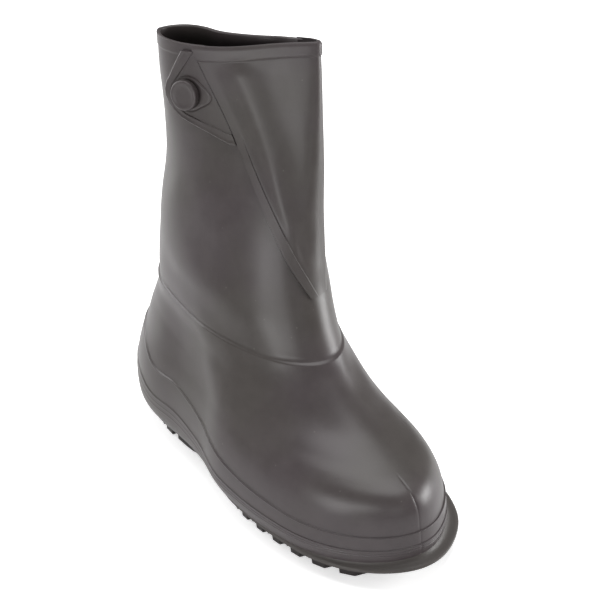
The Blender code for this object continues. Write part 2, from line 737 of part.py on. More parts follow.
def make_button():
    """A mushroom button turned in one piece: stem, head with a rounded rim and a slightly hollow face."""
    under = GAP + TAB_THICK + TAB_BORDER_RISE + 2 * GAP
    top = under + BUTTON_HEAD
    face = top - FACE_HOLLOW
    profile = [(0, face), (BUTTON_RADIUS - 2.3 * BUTTON_RIM, face), (BUTTON_RADIUS - 1.6 * BUTTON_RIM, top),
               (BUTTON_RADIUS - BUTTON_RIM, top)]
    for i in range(1, RIM_STEPS + 1):
        turn = math.pi / 2 * i / RIM_STEPS
        profile.append((BUTTON_RADIUS - BUTTON_RIM * (1 - math.sin(turn)),
                        top - BUTTON_RIM * (1 - math.cos(turn))))
    profile += [(BUTTON_RADIUS, under + 2 * GAP), (BUTTON_RADIUS - 2 * GAP, under), (STEM_RADIUS, under),
                (STEM_RADIUS, 2 * GAP), (0, 2 * GAP)]

    mesh = bpy.data.meshes.new("button")
    edges = [(i, i + 1) for i in range(len(profile) - 1)]
    mesh.from_pydata([(radius, 0, height) for radius, height in profile], edges, [])
    button = new_object("button", mesh, rubber("button_rubber", RUBBER, 0.42), parts)
    turned = button.modifiers.new("turned", "SCREW")
    turned.steps = BUTTON_STEPS
    turned.render_steps = BUTTON_STEPS
    turned.use_merge_vertices = True
    turned.merge_threshold = 0.00002
    turned.use_smooth_shade = True
    button.matrix_basis = button_frame()
    return button


for thing in list(bpy.data.objects):
    bpy.data.objects.remove(thing, do_unlink=True)
for group in list(bpy.data.collections):
    bpy.data.collections.remove(group)
parts = bpy.data.collections.new("winter_overshoe")
cutters = bpy.data.collections.new("cutters")
for group in (parts, cutters):
    bpy.context.scene.collection.children.link(group)
place = bpy.data.objects.new("heel_point", None)
place.location = (HEEL_BULGE - LENGTH / 2, AXIS_SHIFT, 0)
parts.objects.link(place)

make_upper()
make_outsole()
make_insole()
make_studs()
make_flap()
make_tab()
make_button()
bpy.context.view_layer.update()
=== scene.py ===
# %% [markdown]
# A winter overshoe of dark grey rubber, dressed for the camera.
# The solids that carry it come from the frame and stay where they are. This script draws the surface that
# shows: a fine skin for each rubber piece and the tread; and it makes the materials, the studs' too, the
# light and the camera.
# All lengths are in metres unless a table says millimetres.

# %% Start from the frame
import math
from collections import namedtuple

import bmesh
import bpy
import numpy as np
from mathutils import Matrix, Quaternion, Vector


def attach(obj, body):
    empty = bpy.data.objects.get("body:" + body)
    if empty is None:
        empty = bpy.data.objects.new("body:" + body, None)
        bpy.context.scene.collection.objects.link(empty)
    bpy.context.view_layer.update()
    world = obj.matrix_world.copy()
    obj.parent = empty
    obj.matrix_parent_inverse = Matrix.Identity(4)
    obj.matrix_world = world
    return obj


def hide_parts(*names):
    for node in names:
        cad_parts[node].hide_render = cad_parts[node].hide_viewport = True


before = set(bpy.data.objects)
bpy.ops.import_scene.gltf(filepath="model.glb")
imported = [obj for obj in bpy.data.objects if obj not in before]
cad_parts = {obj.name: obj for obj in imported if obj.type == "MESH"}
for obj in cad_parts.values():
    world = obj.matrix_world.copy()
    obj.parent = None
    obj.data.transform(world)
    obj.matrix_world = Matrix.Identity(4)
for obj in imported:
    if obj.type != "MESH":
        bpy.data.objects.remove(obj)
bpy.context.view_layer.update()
print("frame nodes:", len(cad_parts))

# %% [markdown]
# The shoe is drawn from the rear of the heel, as a last maker would: x runs to the toe and z up.
# Only when a point goes into a mesh is it moved to the frame's origin under the middle of the shoe.

# %% Named sizes
MM = 0.001
LENGTH = 321.5 * MM
HEEL_BULGE = 10 * MM
AXIS_SHIFT = 3.9 * MM
PLACE = np.array([HEEL_BULGE - LENGTH / 2, AXIS_SHIFT, 0])
WALL = 2.2 * MM
GAP = 0.3 * MM
TOE_SPRING = 4.5 * MM
SPRING_START = 262 * MM
LUG_HEIGHT = 6.5 * MM
FOOT_STEP = 1.0 * MM
RAND_STEP = 0.8 * MM
MIDDLE_STEP = 0.5 * MM
RAND_MIDDLE = 0.6          # share of the rand's height up to which it stands out farther
HEEL_CENTRE = math.radians(50)
MERGE_WITHIN = 0.005 * MM

# %% [markdown]
# The upper is moulded on a last. The last's plan is a row of half widths, and the upper is a stack of
# rings from the sole to the collar. A smooth curve through each column of the table fills what lies between.

# %% The tables of the last
Plan = namedtuple("Plan", "along lateral medial")
LAST_PLAN = [
    Plan(0.00, 1.28, 1.35), Plan(0.14, 1.14, 1.07), Plan(0.33, 0.89, 0.74), Plan(0.44, 0.90, 0.63),
    Plan(0.53, 1.00, 0.80), Plan(0.63, 1.04, 1.00), Plan(0.74, 1.08, 1.13), Plan(0.83, 1.12, 1.24),
    Plan(0.91, 1.11, 1.28), Plan(1.00, 1.04, 1.15),
]
# Rings in millimetres: front and rear point, half widths, share of the last's plan, pinch and heel swell
Ring = namedtuple("Ring", "name front_x front_y front_z rear_x rear_y rear_z lateral medial last pinch heel")
RINGS = [
    Ring("welt",       301.0, 0,  13.3,  0.5,   0,  13.3, 62.5, 53.5, 1.00, 0.0,  2.0),
    Ring("rand",       301.5, 0,  24.0, -1.0,   0,  24.0, 64.0, 55.0, 1.00, 0.0,  6.2),
    Ring("rand_top",   300.5, 0,  36.0, -2.0,   0,  36.0, 63.5, 54.5, 1.00, 0.0,  7.4),
    Ring("toe_wall",   298.5, 0,  50.0, -2.2,   0,  50.0, 61.0, 52.0, 0.97, 0.0,  8.0),
    Ring("toe_brow",   292.0, 0,  60.0, -1.5,   0,  62.0, 57.5, 49.0, 0.92, 0.0,  7.4),
    Ring("toe_top",    280.0, 0,  66.0,  0.0,   0,  74.0, 53.5, 46.0, 0.85, 0.0,  6.2),
    Ring("vamp_low",   261.0, 0,  72.0,  1.0,   0,  85.0, 50.0, 43.5, 0.72, 0.0,  5.0),
    Ring("vamp",       237.0, 0,  81.0,  4.0,   0,  96.0, 46.5, 42.0, 0.58, 0.0,  4.1),
    Ring("vamp_high",  213.0, 1,  95.0,  6.0,   0, 105.0, 43.5, 41.0, 0.42, 0.0,  3.5),
    Ring("seam",       191.5, 3, 113.0,  7.0,  -1, 114.0, 42.0, 40.0, 0.28, 0.0,  3.5),
    Ring("ankle",      174.0, 7, 138.0,  8.0,  -2, 128.0, 41.0, 40.0, 0.14, 0.0,  3.5),
    Ring("shaft_low",  159.5, 13, 163.0,  8.5, -4, 148.0, 39.5, 39.5, 0.04, 0.0,  3.0),
    Ring("shaft_mid",  148.0, 22, 194.0, 10.0, -6, 176.0, 36.0, 36.0, 0.00, 0.1,  0.8),
    Ring("shaft",      137.5, 33, 230.0, 13.0, -9, 212.0, 30.0, 30.0, 0.00, 0.35, -3.0),
    Ring("shaft_high", 126.5, 42, 268.0, 13.0, -12, 254.0, 23.0, 23.5, 0.00, 0.8, -2.0),
    Ring("collar",     116.5, 49, 303.0, 14.0, -14, 297.0, 17.5, 16.0, 0.00, 1.2, -2.0),
]
SEAM = [ring.name for ring in RINGS].index("seam")
TOP = len(RINGS) - 1
# Height of the rand's top line, as a ring level at an angle in degrees round from the rear
RandLine = namedtuple("RandLine", "angle level")
RAND_LINE = [
    RandLine(0, 4.9), RandLine(30, 4.75), RandLine(44, 4.3), RandLine(54, 3.65), RandLine(66, 3.7),
    RandLine(80, 3.3), RandLine(100, 2.5), RandLine(118, 2.2), RandLine(150, 2.05), RandLine(180, 2.0),
    RandLine(210, 1.95), RandLine(245, 2.3), RandLine(275, 3.2), RandLine(296, 3.6), RandLine(308, 3.65),
    RandLine(320, 4.3), RandLine(332, 4.75), RandLine(360, 4.9),
]
# The collar sags: how far it lies higher and farther out than its ring, in millimetres
Sag = namedtuple("Sag", "angle lift out")
COLLAR_SAG = [
    Sag(0, 0, 0), Sag(75, 0, 0), Sag(90, 0.5, 0), Sag(105, 1.9, 0), Sag(120, 3.6, 0), Sag(135, 4.6, 0),
    Sag(150, 4.9, 0), Sag(180, 4.8, 0), Sag(210, 4.2, 0), Sag(225, 2.5, 0.5), Sag(240, 0.6, 0),
    Sag(255, 0, -4.5), Sag(270, 0, -8.0), Sag(285, 0, -8.8), Sag(300, -0.5, -5.0), Sag(315, -1.2, -1.8),
    Sag(335, -1.5, 0), Sag(350, -0.8, 0), Sag(360, 0, 0),
]
SAG_START = 12.4


class Smooth:
    """A smooth curve through rows of numbers, read at many places at once."""

    def __init__(self, places, rows):
        self.places = np.array(places, float)
        self.rows = np.array(rows, float)
        self.slopes = np.gradient(self.rows, self.places, axis=0)

    def __call__(self, place):
        place = np.clip(np.asarray(place, float), self.places[0], self.places[-1])
        low = np.clip(np.searchsorted(self.places, place, side="right") - 1, 0, len(self.places) - 2)
        span = (self.places[low + 1] - self.places[low])[..., None]
        s = (place - self.places[low])[..., None] / span
        square = s ** 2
        cube = s ** 3
        value = (2 * cube - 3 * square + 1) * self.rows[low] + (3 * square - 2 * cube) * self.rows[low + 1]
        slope = (cube - 2 * square + s) * self.slopes[low] + (cube - square) * self.slopes[low + 1]
        return value + span * slope


plan_curve = Smooth([row.along for row in LAST_PLAN], [(row.lateral, row.medial) for row in LAST_PLAN])
ring_curve = Smooth(range(len(RINGS)), [ring[1:] for ring in RINGS])
rand_curve = Smooth([row.angle for row in RAND_LINE], [(row.level,) for row in RAND_LINE])
sag_curve = Smooth([row.angle for row in COLLAR_SAG], [row[1:] for row in COLLAR_SAG])
print("rings of the upper:", len(RINGS))

# %% [markdown]
# Every point of the rubber is named by a ring level, an angle round the ring and a distance out from the
# plain surface. With that one function the skin, the flap and the tab all follow the same shape.

# %% The surface of the upper


def blend(low, high, value):
    """0 below low, 1 above high, and a soft step between them."""
    s = np.clip((np.asarray(value, float) - low) / (high - low), 0, 1)
    return s * s * (3 - 2 * s)


def spring(x):
    """Rise of the sole at x."""
    tip = LENGTH - HEEL_BULGE
    return TOE_SPRING * np.maximum((x - SPRING_START) / (tip - SPRING_START), 0) ** 2


def outline(angle, rear, front, lateral, medial, last=1.0, pinch=0.0):
    """Points of a shoe-shaped ring: angle 0 is the rear and 180 degrees the front, outer side first."""
    along = (1 - np.cos(angle)) / 2
    outer = np.sin(angle) >= 0
    shares = plan_curve(along)
    share = np.where(outer, shares[..., 0], shares[..., 1])
    width = np.where(outer, lateral, medial)
    half = width * (last * share + (1 - last) * (1 + pinch * (0.5 - along))) * np.abs(np.sin(angle))
    ahead = front - rear
    flat = np.hypot(ahead[..., 0], ahead[..., 1])
    side = np.stack([ahead[..., 1] / flat, -ahead[..., 0] / flat, 0 * flat], -1)
    return rear + ahead * along[..., None] + side * (half * np.where(outer, 1, -1))[..., None]


def form(level, angle):
    """The plain surface, before any thickness."""
    row = ring_curve(level)
    return outline(angle, row[..., 3:6] * MM, row[..., 0:3] * MM, row[..., 6] * MM, row[..., 7] * MM,
                   row[..., 8], row[..., 9])


def outward(level, angle):
    """The direction square to the surface, kept level along the sole's edge."""
    small = 0.02
    up = form(np.minimum(level + small, TOP), angle) - form(np.maximum(level - small, 0), angle)
    along = form(level, angle + small) - form(level, angle - small)
    normal = np.cross(along, up)
    normal[..., 2] *= blend(0, 1.5, level)
    return normal / np.linalg.norm(normal, axis=-1, keepdims=True)


def skin(level, angle, out):
    """Points that lie out from the plain surface, with the heel's swell and the toe's rise."""
    level, angle, out = (np.asarray(v, float) for v in np.broadcast_arrays(level, angle, out))
    row = ring_curve(level)
    swell = row[..., 10] * MM * ((1 + np.cos(angle - HEEL_CENTRE)) / 2) ** 2
    sag = sag_curve(np.degrees(angle) % 360) * MM
    near = blend(SAG_START, TOP, level)
    point = form(level, angle) + outward(level, angle) * (swell + out + sag[..., 1] * near ** 2)[..., None]
    point[..., 2] += row[..., 8] * spring(point[..., 0]) + sag[..., 0] * near
    return point


def rand_line(angle):
    """Ring level of the rand's top line."""
    return rand_curve(np.degrees(angle) % 360)[..., 0]


# %% [markdown]
# A grid of points becomes a mesh by joining each point to its neighbours. Grids are quick to write, their
# quads shade well, and a closed grid has no loose edge.

# %% Meshes from grids


def grid_faces(rows, columns, wrap_rows=False, wrap_columns=False, start=0):
    """Quads of a grid whose points are numbered row by row."""
    faces = []
    for r in range(rows if wrap_rows else rows - 1):
        for c in range(columns if wrap_columns else columns - 1):
            r2 = (r + 1) % rows
            c2 = (c + 1) % columns
            faces.append((start + r * columns + c, start + r * columns + c2,
                          start + r2 * columns + c2, start + r2 * columns + c))
    return faces


def link(name, data):
    """A new object in the scene for some data."""
    thing = bpy.data.objects.new(name, data)
    bpy.context.scene.collection.objects.link(thing)
    return thing


def raw_mesh(name, points, faces=()):
    """A mesh from points in the drawing's frame."""
    mesh = bpy.data.meshes.new(name)
    mesh.from_pydata([tuple(p) for p in np.asarray(points).reshape(-1, 3) + PLACE], [], list(faces))
    return mesh


def mesh_object(name, points, faces, degrees):
    """An object at the origin with outward faces, sharp where they meet at more than so many degrees."""
    mesh = raw_mesh(name, points, faces)
    bm = bmesh.new()
    bm.from_mesh(mesh)
    bmesh.ops.remove_doubles(bm, verts=bm.verts, dist=MERGE_WITHIN)
    bmesh.ops.recalc_face_normals(bm, faces=bm.faces)
    bm.to_mesh(mesh)
    bm.free()
    mesh.shade_smooth()
    mesh.set_sharp_from_angle(angle=math.radians(degrees))
    print(name, "triangles:", sum(len(p.vertices) - 2 for p in mesh.polygons))
    return link(name, mesh)


def plate_mesh(name, outer, inner, degrees):
    """A closed plate from two grids of the same size, joined all round their edges."""
    rows, columns = outer.shape[:2]
    count = rows * columns
    faces = grid_faces(rows, columns) + grid_faces(rows, columns, start=count)
    rim = list(range(columns))
    rim += [r * columns + columns - 1 for r in range(1, rows)]
    rim += [(rows - 1) * columns + c for c in range(columns - 2, -1, -1)]
    rim += [r * columns for r in range(rows - 2, 0, -1)]
    for a, b in zip(rim, rim[1:] + rim[:1]):
        faces.append((a, b, b + count, a + count))
    return mesh_object(name, np.concatenate([outer.reshape(-1, 3), inner.reshape(-1, 3)]), faces, degrees)


# %% [markdown]
# Rubber of this thickness does not crease sharply. It sags into a few long, soft troughs with a ridge
# beside them. Each fold is a path of levels and angles on the surface, with a depth and a width in
# millimetres.

# %% The folds
Fold = namedtuple("Fold", "path depth width")
UPPER_FOLDS = [
    Fold([(13.9, 20), (12.6, 44)], -1.5, 13),
    Fold([(13.2, 30), (12.1, 62)], 0.8, 12),
    Fold([(12.2, 70), (11.0, 110)], -1.1, 12),
    Fold([(11.4, 20), (10.4, 60)], -0.9, 13),
    Fold([(10.6, 80), (9.9, 128)], 0.7, 11),
    Fold([(9.7, 96), (8.6, 132)], -0.8, 12),
    Fold([(8.3, 128), (7.2, 158)], -0.7, 13),
    Fold([(8.1, 205), (9.4, 236)], -1.0, 12),
    Fold([(10.4, 214), (11.6, 250)], 0.9, 12),
    Fold([(11.0, 262), (12.6, 300)], -1.5, 14),
    Fold([(13.0, 250), (14.2, 285)], 0.8, 13),
    Fold([(9.8, 300), (10.6, 345)], -0.9, 12),
    Fold([(6.6, 60), (7.8, 84)], -0.8, 13),
    Fold([(6.8, 280), (7.6, 306)], -0.8, 13),
]
LEVEL_SPAN = 26 * MM       # about the height of one ring level on the shaft
TURN_RADIUS = 46 * MM      # about the radius of the shaft


def folded(folds, level, angle):
    """Height of all the folds at a place."""
    total = np.zeros(np.broadcast(level, angle).shape)
    v = np.asarray(level) * LEVEL_SPAN
    u = np.asarray(angle) * TURN_RADIUS
    for fold in folds:
        away = np.full(total.shape, np.inf)
        path = [np.array([row[0] * LEVEL_SPAN, math.radians(row[1]) * TURN_RADIUS]) for row in fold.path]
        for a, b in zip(path, path[1:]):
            run = b - a
            share = np.clip(((v - a[0]) * run[0] + (u - a[1]) * run[1]) / (run @ run), 0, 1)
            away = np.minimum(away, np.hypot(v - a[0] - share * run[0], u - a[1] - share * run[1]))
        total += fold.depth * MM * np.exp(-(away / (fold.width * MM)) ** 2)
    return total


# %% [markdown]
# The upper is one hollow wall. On the real shoe a second layer of rubber wraps the foot up to a seam at the
# ankle, and a rand with beads along its middle and its top covers the edge of the sole. A row of points
# lies on each side of every such step, so that the step stays crisp while the rest is smooth.

# %% The upper
AROUND = 150
FINE_TURNS = [-1.6, -0.8, -0.35, 0.35, 0.8, 1.6]
BEAD = 0.22 * MM
RAND_BEADS = (0.42, 0.50, 0.583, 0.975)     # shares of the rand's height
BEAD_WIDTH = 0.008
GROOVE = 0.3 * MM
PARTING_TOP = 5.2
TOE_LINE_WIDTH = math.radians(0.5)
BAND_LEVEL = 14.8
BAND_RISE = 0.45 * MM
RIM_DROP = 2.5 * MM        # the wall's rim lies lower where the flap stands before it
FLAP_COVERS = (79, 217)    # degrees between which that is so, with a ramp to each side
COVER_RAMP = 5
RIM_STEPS = 6
INNER_ROWS = 70
# Stretches of rows, each from, to and how many, with close rows at the beads, the steps and the groove
RAND_ROWS = [(0, 1, 22), (0.40, 0.53, 14), (0.56, 0.63, 9), (0.95, 1.0, 7)]
FOOT_ROWS = [(0.004, 1, 44), (0.965, 1.0, 8)]
SHAFT_ROWS = [(SEAM + 0.02, TOP - 0.01, 74), (BAND_LEVEL - 0.03, BAND_LEVEL + 0.03, 5)]


def ring_angles():
    """Angles round a ring, closer at the toe's parting line and at the middle of the heel."""
    turns = [360 * i / AROUND for i in range(AROUND)] + [180 + t for t in FINE_TURNS]
    return np.radians(sorted(turns + [t % 360 for t in FINE_TURNS]))


def stretches(parts):
    """Rows in order, from stretches of evenly spaced ones."""
    return sorted(row for low, high, count in parts for row in np.linspace(low, high, count))


def fold_height(level, angle):
    """Height of the upper's folds, which fade out in the stiff foot and towards the collar."""
    return folded(UPPER_FOLDS, level, angle) * (blend(3.5, 6, level) * (1 - 0.6 * blend(13.6, 14.9, level)))


def outer_rows(line):
    """Ring levels and distances out of the outer face's rows, from the sole to the collar."""
    rows = []
    for s in stretches(RAND_ROWS):
        out = FOOT_STEP + RAND_STEP * (1 - blend(0.985, 1.0, s))
        out += MIDDLE_STEP * (1 - blend(RAND_MIDDLE - 0.01, RAND_MIDDLE + 0.005, s))
        out += BEAD * sum(math.exp(-((s - bead) / BEAD_WIDTH) ** 2) for bead in RAND_BEADS)
        rows.append((line * s, out + 0 * line))
    for s in stretches(FOOT_ROWS):
        out = FOOT_STEP * (1 - blend(0.990, 0.998, s))
        rows.append((line + (SEAM - line) * s, out + 0 * line))
    for level in stretches(SHAFT_ROWS):
        out = BAND_RISE * blend(BAND_LEVEL - 0.01, BAND_LEVEL + 0.01, level)
        out -= GROOVE * math.exp(-((level - SEAM - 0.03) / 0.02) ** 2)
        rows.append((level + 0 * line, out + 0 * line))
    return np.array([row[0] for row in rows]), np.array([row[1] for row in rows])


def upper_skin():
    """Points from the sole up the outer face, over the rim and down the inner face."""
    turns = ring_angles()
    degrees = np.degrees(turns)
    levels, outs = outer_rows(rand_line(turns))
    angle = turns[None, :] + 0 * levels
    parting = np.exp(-((angle - math.pi) / TOE_LINE_WIDTH) ** 2)
    parting *= 1 - blend(PARTING_TOP - 0.3, PARTING_TOP, levels)
    points = [skin(levels, angle, outs + fold_height(levels, angle) - GROOVE * parting)]
    first, last = FLAP_COVERS
    drop = RIM_DROP * blend(first - COVER_RAMP, first + COVER_RAMP, degrees)
    drop *= 1 - blend(last - COVER_RAMP, last + COVER_RAMP, degrees)
    points[0][-1, :, 2] -= drop
    middle = (BAND_RISE - WALL) / 2
    half = (BAND_RISE + WALL) / 2
    for step in range(1, RIM_STEPS):
        turn = math.pi * step / RIM_STEPS
        row = skin(TOP + 0 * turns, turns, middle + half * math.cos(turn))
        row[:, 2] -= (1 - math.sin(turn)) * WALL / 2 + drop
        points.append(row[None])
    level, angle = np.meshgrid(np.linspace(TOP - 0.02, 0, INNER_ROWS), turns, indexing="ij")
    points.append(skin(level, angle, fold_height(level, angle) - WALL))
    return np.concatenate(points)


upper_points = upper_skin()
upper = mesh_object("upper_skin", upper_points,
                    grid_faces(*upper_points.shape[:2], wrap_rows=True, wrap_columns=True), 50)

# %% [markdown]
# The shaft is wide enough for a leg in a boot, so its front folds over to the outer side and is buttoned
# there. The fold shows as a long triangle with a raised band on its collar and on its free edge, one soft
# ridge and a trough beside it.

# %% The flap
FlapRow = namedtuple("FlapRow", "level edge band end")
FLAP_ROWS = [
    FlapRow(10.4, 176, 184, 200), FlapRow(11.0, 162, 171, 206), FlapRow(12.0, 139.5, 147.5, 214),
    FlapRow(13.0, 113.5, 119.5, 219), FlapRow(14.0, 90.0, 96, 223), FlapRow(15.0, 66.5, 72.5, 226),
]
flap_curve = Smooth([row.level for row in FLAP_ROWS], [row[1:] for row in FLAP_ROWS])
FLAP_THICK = 2.4 * MM
FLAP_GAP = 0.5 * MM
FLAP_BAND = 0.9 * MM
UNDERCUT = 1.2 * MM        # a free edge hovers by this much, which draws a dark line under it
COLLAR_BAND = 14.75
FLAP_FOLDS = [
    Fold([(14.68, 97), (14.48, 101), (13.84, 114), (13.19, 130), (12.41, 142), (12.0, 149)], 3.9, 11.5),
    Fold([(14.7, 116), (13.84, 128), (13.07, 146), (12.19, 158), (11.7, 166)], -2.0, 10),
    Fold([(14.2, 172), (12.8, 190)], 0.5, 15),
]
# Shares across the flap are 0 at its free edge, 1 at the band's inner side and 2 where it ends
ACROSS = [(0, 0.06, 4), (0.14, 0.9, 5), (0.93, 1.03, 6), (1.06, 2, 54)]
FLAP_LEVELS = [(FLAP_ROWS[0].level, TOP, 110), (COLLAR_BAND - 0.03, COLLAR_BAND + 0.03, 5)]
THIN_FROM = 1.72           # the flap thins from this share to its end, and towards its lower tip
THINNING = 0.8
EDGE_ROUNDING = 0.5
TOP_ROUNDING = 0.35


def flap_sheet():
    """Outer and inner grids of the flap."""
    levels = np.array(stretches(FLAP_LEVELS))
    edge, band, end = (np.radians(flap_curve(levels)[:, k])[:, None] for k in range(3))
    t = np.array(stretches(ACROSS))[None, :]
    angle = np.where(t < 1, edge + (band - edge) * t, band + (end - band) * (t - 1))
    level = levels[:, None] + 0 * angle
    tip = blend(10.35, 11.1, level)
    free_band = (1 - blend(0.96, 1.0, t)) * (1 - blend(13.0, 13.6, level))
    banded = np.maximum(free_band, blend(COLLAR_BAND - 0.012, COLLAR_BAND + 0.012, level))
    fade = blend(10.4, 11.2, level) * (1 - blend(14.45, 14.85, level)) * blend(1.0, 1.15, t)
    height = FLAP_THICK + folded(FLAP_FOLDS, level, angle) * fade + FLAP_BAND * banded
    height *= (1 - THINNING * blend(THIN_FROM, 2, t)) * (1 - THINNING * (1 - tip))
    height *= 1 - EDGE_ROUNDING * (1 - blend(0, 0.08, t)) ** 2
    height *= 1 - TOP_ROUNDING * blend(TOP - 0.03, TOP, level) ** 2
    outer = skin(level, angle, FLAP_GAP + height)
    inner = skin(level, angle, FLAP_GAP + UNDERCUT * (1 - blend(0, 0.5, t)) * tip)
    return outer, inner


flap = plate_mesh("flap_skin", *flap_sheet(), 45)

# %% [markdown]
# A triangular tab comes from under the flap's edge and buttons over a mushroom button. Its border is
# raised, and a teardrop line is moulded round the button hole. It is drawn in millimetres on the shaft,
# measured from the button: first towards the front, then up.

# %% The tab
BUTTON_LEVEL = 14.16
BUTTON_ANGLE = math.radians(66.5)
TAB_THICK = 1.9 * MM
TAB_BORDER_RISE = 0.9 * MM
TEAR_GROOVE = 0.6 * MM
TEAR_RADIUS = 11.9         # millimetres, as is the teardrop's point towards the front
TEAR_POINT = 5.8
TEAR_WIDTH = 0.55
TAB_CURL = 1.5 * MM        # the tab's upper rear corner lifts by this much
TAB_CLEARANCE = 0.4        # millimetres between the tab's front and the flap's free edge
FRONT_MARGIN = 9           # millimetres; keeps the hidden front from being rounded like a free edge
TabRow = namedtuple("TabRow", "height rear")
TAB_ROWS = [
    TabRow(-27.5, 35.0), TabRow(-25.4, 27.0), TabRow(-22.6, 16.0), TabRow(-20.2, 4.5), TabRow(-18.4, -3.5),
    TabRow(-15.0, -10.5), TabRow(-10.0, -15.5), TabRow(-5.0, -18.0), TabRow(0.0, -18.7), TabRow(5.0, -17.7),
    TabRow(10.0, -15.6), TabRow(17.0, -13.0), TabRow(25.0, -9.2), TabRow(31.0, -6.2),
]
RECESS_ROWS = [
    TabRow(-21.5, 40.0), TabRow(-20.6, 32.0), TabRow(-19.0, 24.0), TabRow(-17.5, 16.0), TabRow(-16.0, 8.5),
    TabRow(-14.3, -1.5), TabRow(-11.5, -7.5), TabRow(-8.0, -11.5), TabRow(-4.0, -13.6), TabRow(0.0, -14.3),
    TabRow(4.0, -13.5), TabRow(9.0, -10.4), TabRow(16.0, -6.0), TabRow(23.5, -1.6), TabRow(31.0, 3.0),
]
tab_turns = np.radians(np.arange(20, 131, 1.0))
tab_line = skin(BUTTON_LEVEL, tab_turns, 0)
tab_lengths = np.concatenate([[0], np.cumsum(np.linalg.norm(np.diff(tab_line, axis=0), axis=1))])
tab_lengths -= np.interp(BUTTON_ANGLE, tab_turns, tab_lengths)


def on_shaft(around, height):
    """Ring level and angle of a place on the shaft, in millimetres from the button."""
    angle = np.interp(around * MM, tab_lengths, tab_turns)
    goal = form(np.array(BUTTON_LEVEL), np.array(BUTTON_ANGLE))[2] + height * MM
    level = np.full(angle.shape, BUTTON_LEVEL)
    for _ in range(4):
        z = form(level, angle)[..., 2]
        slope = (form(level + 0.1, angle)[..., 2] - z) / 0.1
        level = np.minimum(level + (goal - z) / slope, TOP - 0.11)
    return level, angle


def flap_edge_around(height):
    """Where the flap's free edge lies at a height, in millimetres from the button."""
    around = np.full(height.shape, 20.0)
    for _ in range(8):
        level, _ = on_shaft(around, height)
        around = np.interp(np.radians(flap_curve(level)[..., 0]), tab_turns, tab_lengths) / MM
    return around


def tab_sheet():
    """Outer and inner grids of the tab."""
    heights = np.linspace(TAB_ROWS[0].height, TAB_ROWS[-1].height, 150)
    rear, recess = (np.interp(heights, [row.height for row in rows], [row.rear for row in rows])[:, None]
                    for rows in (TAB_ROWS, RECESS_ROWS))
    front = (flap_edge_around(heights) - TAB_CLEARANCE)[:, None]
    around = rear + (front - rear) * np.linspace(0, 1, 130)[None, :]
    height = heights[:, None] + 0 * around
    level, angle = on_shaft(around, height)
    thick = TAB_THICK + TAB_BORDER_RISE * (1 - blend(-0.2, 0.7, around - recess))
    tear = TEAR_RADIUS + TEAR_POINT * np.exp(-(np.arctan2(height, around) / 0.45) ** 2)
    thick -= TEAR_GROOVE * np.exp(-((np.hypot(height, around) - tear) / TEAR_WIDTH) ** 2)
    low_rows = [row for row in TAB_ROWS if row.height <= -15][::-1]
    drop = height - np.interp(around, [row.rear for row in low_rows], [row.height for row in low_rows])
    edge = np.minimum(np.minimum(around - rear, front - around + FRONT_MARGIN), np.maximum(drop, 0))
    rounding = 0.45 * (1 - blend(0, 1.1, edge)) * (thick - 0.4 * MM)
    hover = UNDERCUT * (1 - blend(0, 3, edge))
    lift = TAB_CURL * (1 - blend(-19, -10.5, around)) * (1 - blend(4, 22, height))
    outer = skin(level, angle, GAP + lift + thick + 0.6 * hover - rounding)
    inner = skin(level, angle, GAP + lift + hover)
    return outer, inner


tab = plate_mesh("tab_skin", *tab_sheet(), 45)

# %% [markdown]
# The button is a turned shape, so half of its outline is spun round its axis with the Screw modifier.
# Its face is slightly hollow inside a rounded rim.

# %% The button
BUTTON_RADIUS = 10.6 * MM
BUTTON_HEAD = 5.0 * MM
BUTTON_RIM = 1.3 * MM
STEM_RADIUS = 4.2 * MM
# In millimetres: radius and depth of the hollow face, then distance in and height of the rim's underside
FACE_PROFILE = [(0, 0.45), (5.2, 0.45), (7.2, 0.40), (7.9, 0.12), (8.6, 0)]
UNDER_PROFILE = [(0, 1.1), (0.3, 0.4), (1.0, 0)]
RIM_ARC_STEPS = 8
BUTTON_STEPS = 72


def button_matrix():
    """The button's axis: it stands square on the shaft."""
    level = np.array(BUTTON_LEVEL)
    angle = np.array(BUTTON_ANGLE)
    base = Vector(skin(level, angle, 0.0) + PLACE)
    turn = Vector(outward(level, angle)).to_track_quat("Z", "Y")
    return Matrix.Translation(base) @ turn.to_matrix().to_4x4()


def settle(thing):
    """The evaluated object as a plain mesh at the origin, under the same name."""
    name = thing.name
    bpy.context.view_layer.update()
    mesh = bpy.data.meshes.new_from_object(thing.evaluated_get(bpy.context.evaluated_depsgraph_get()))
    mesh.transform(thing.matrix_world)
    bpy.data.objects.remove(thing, do_unlink=True)
    return link(name, mesh)


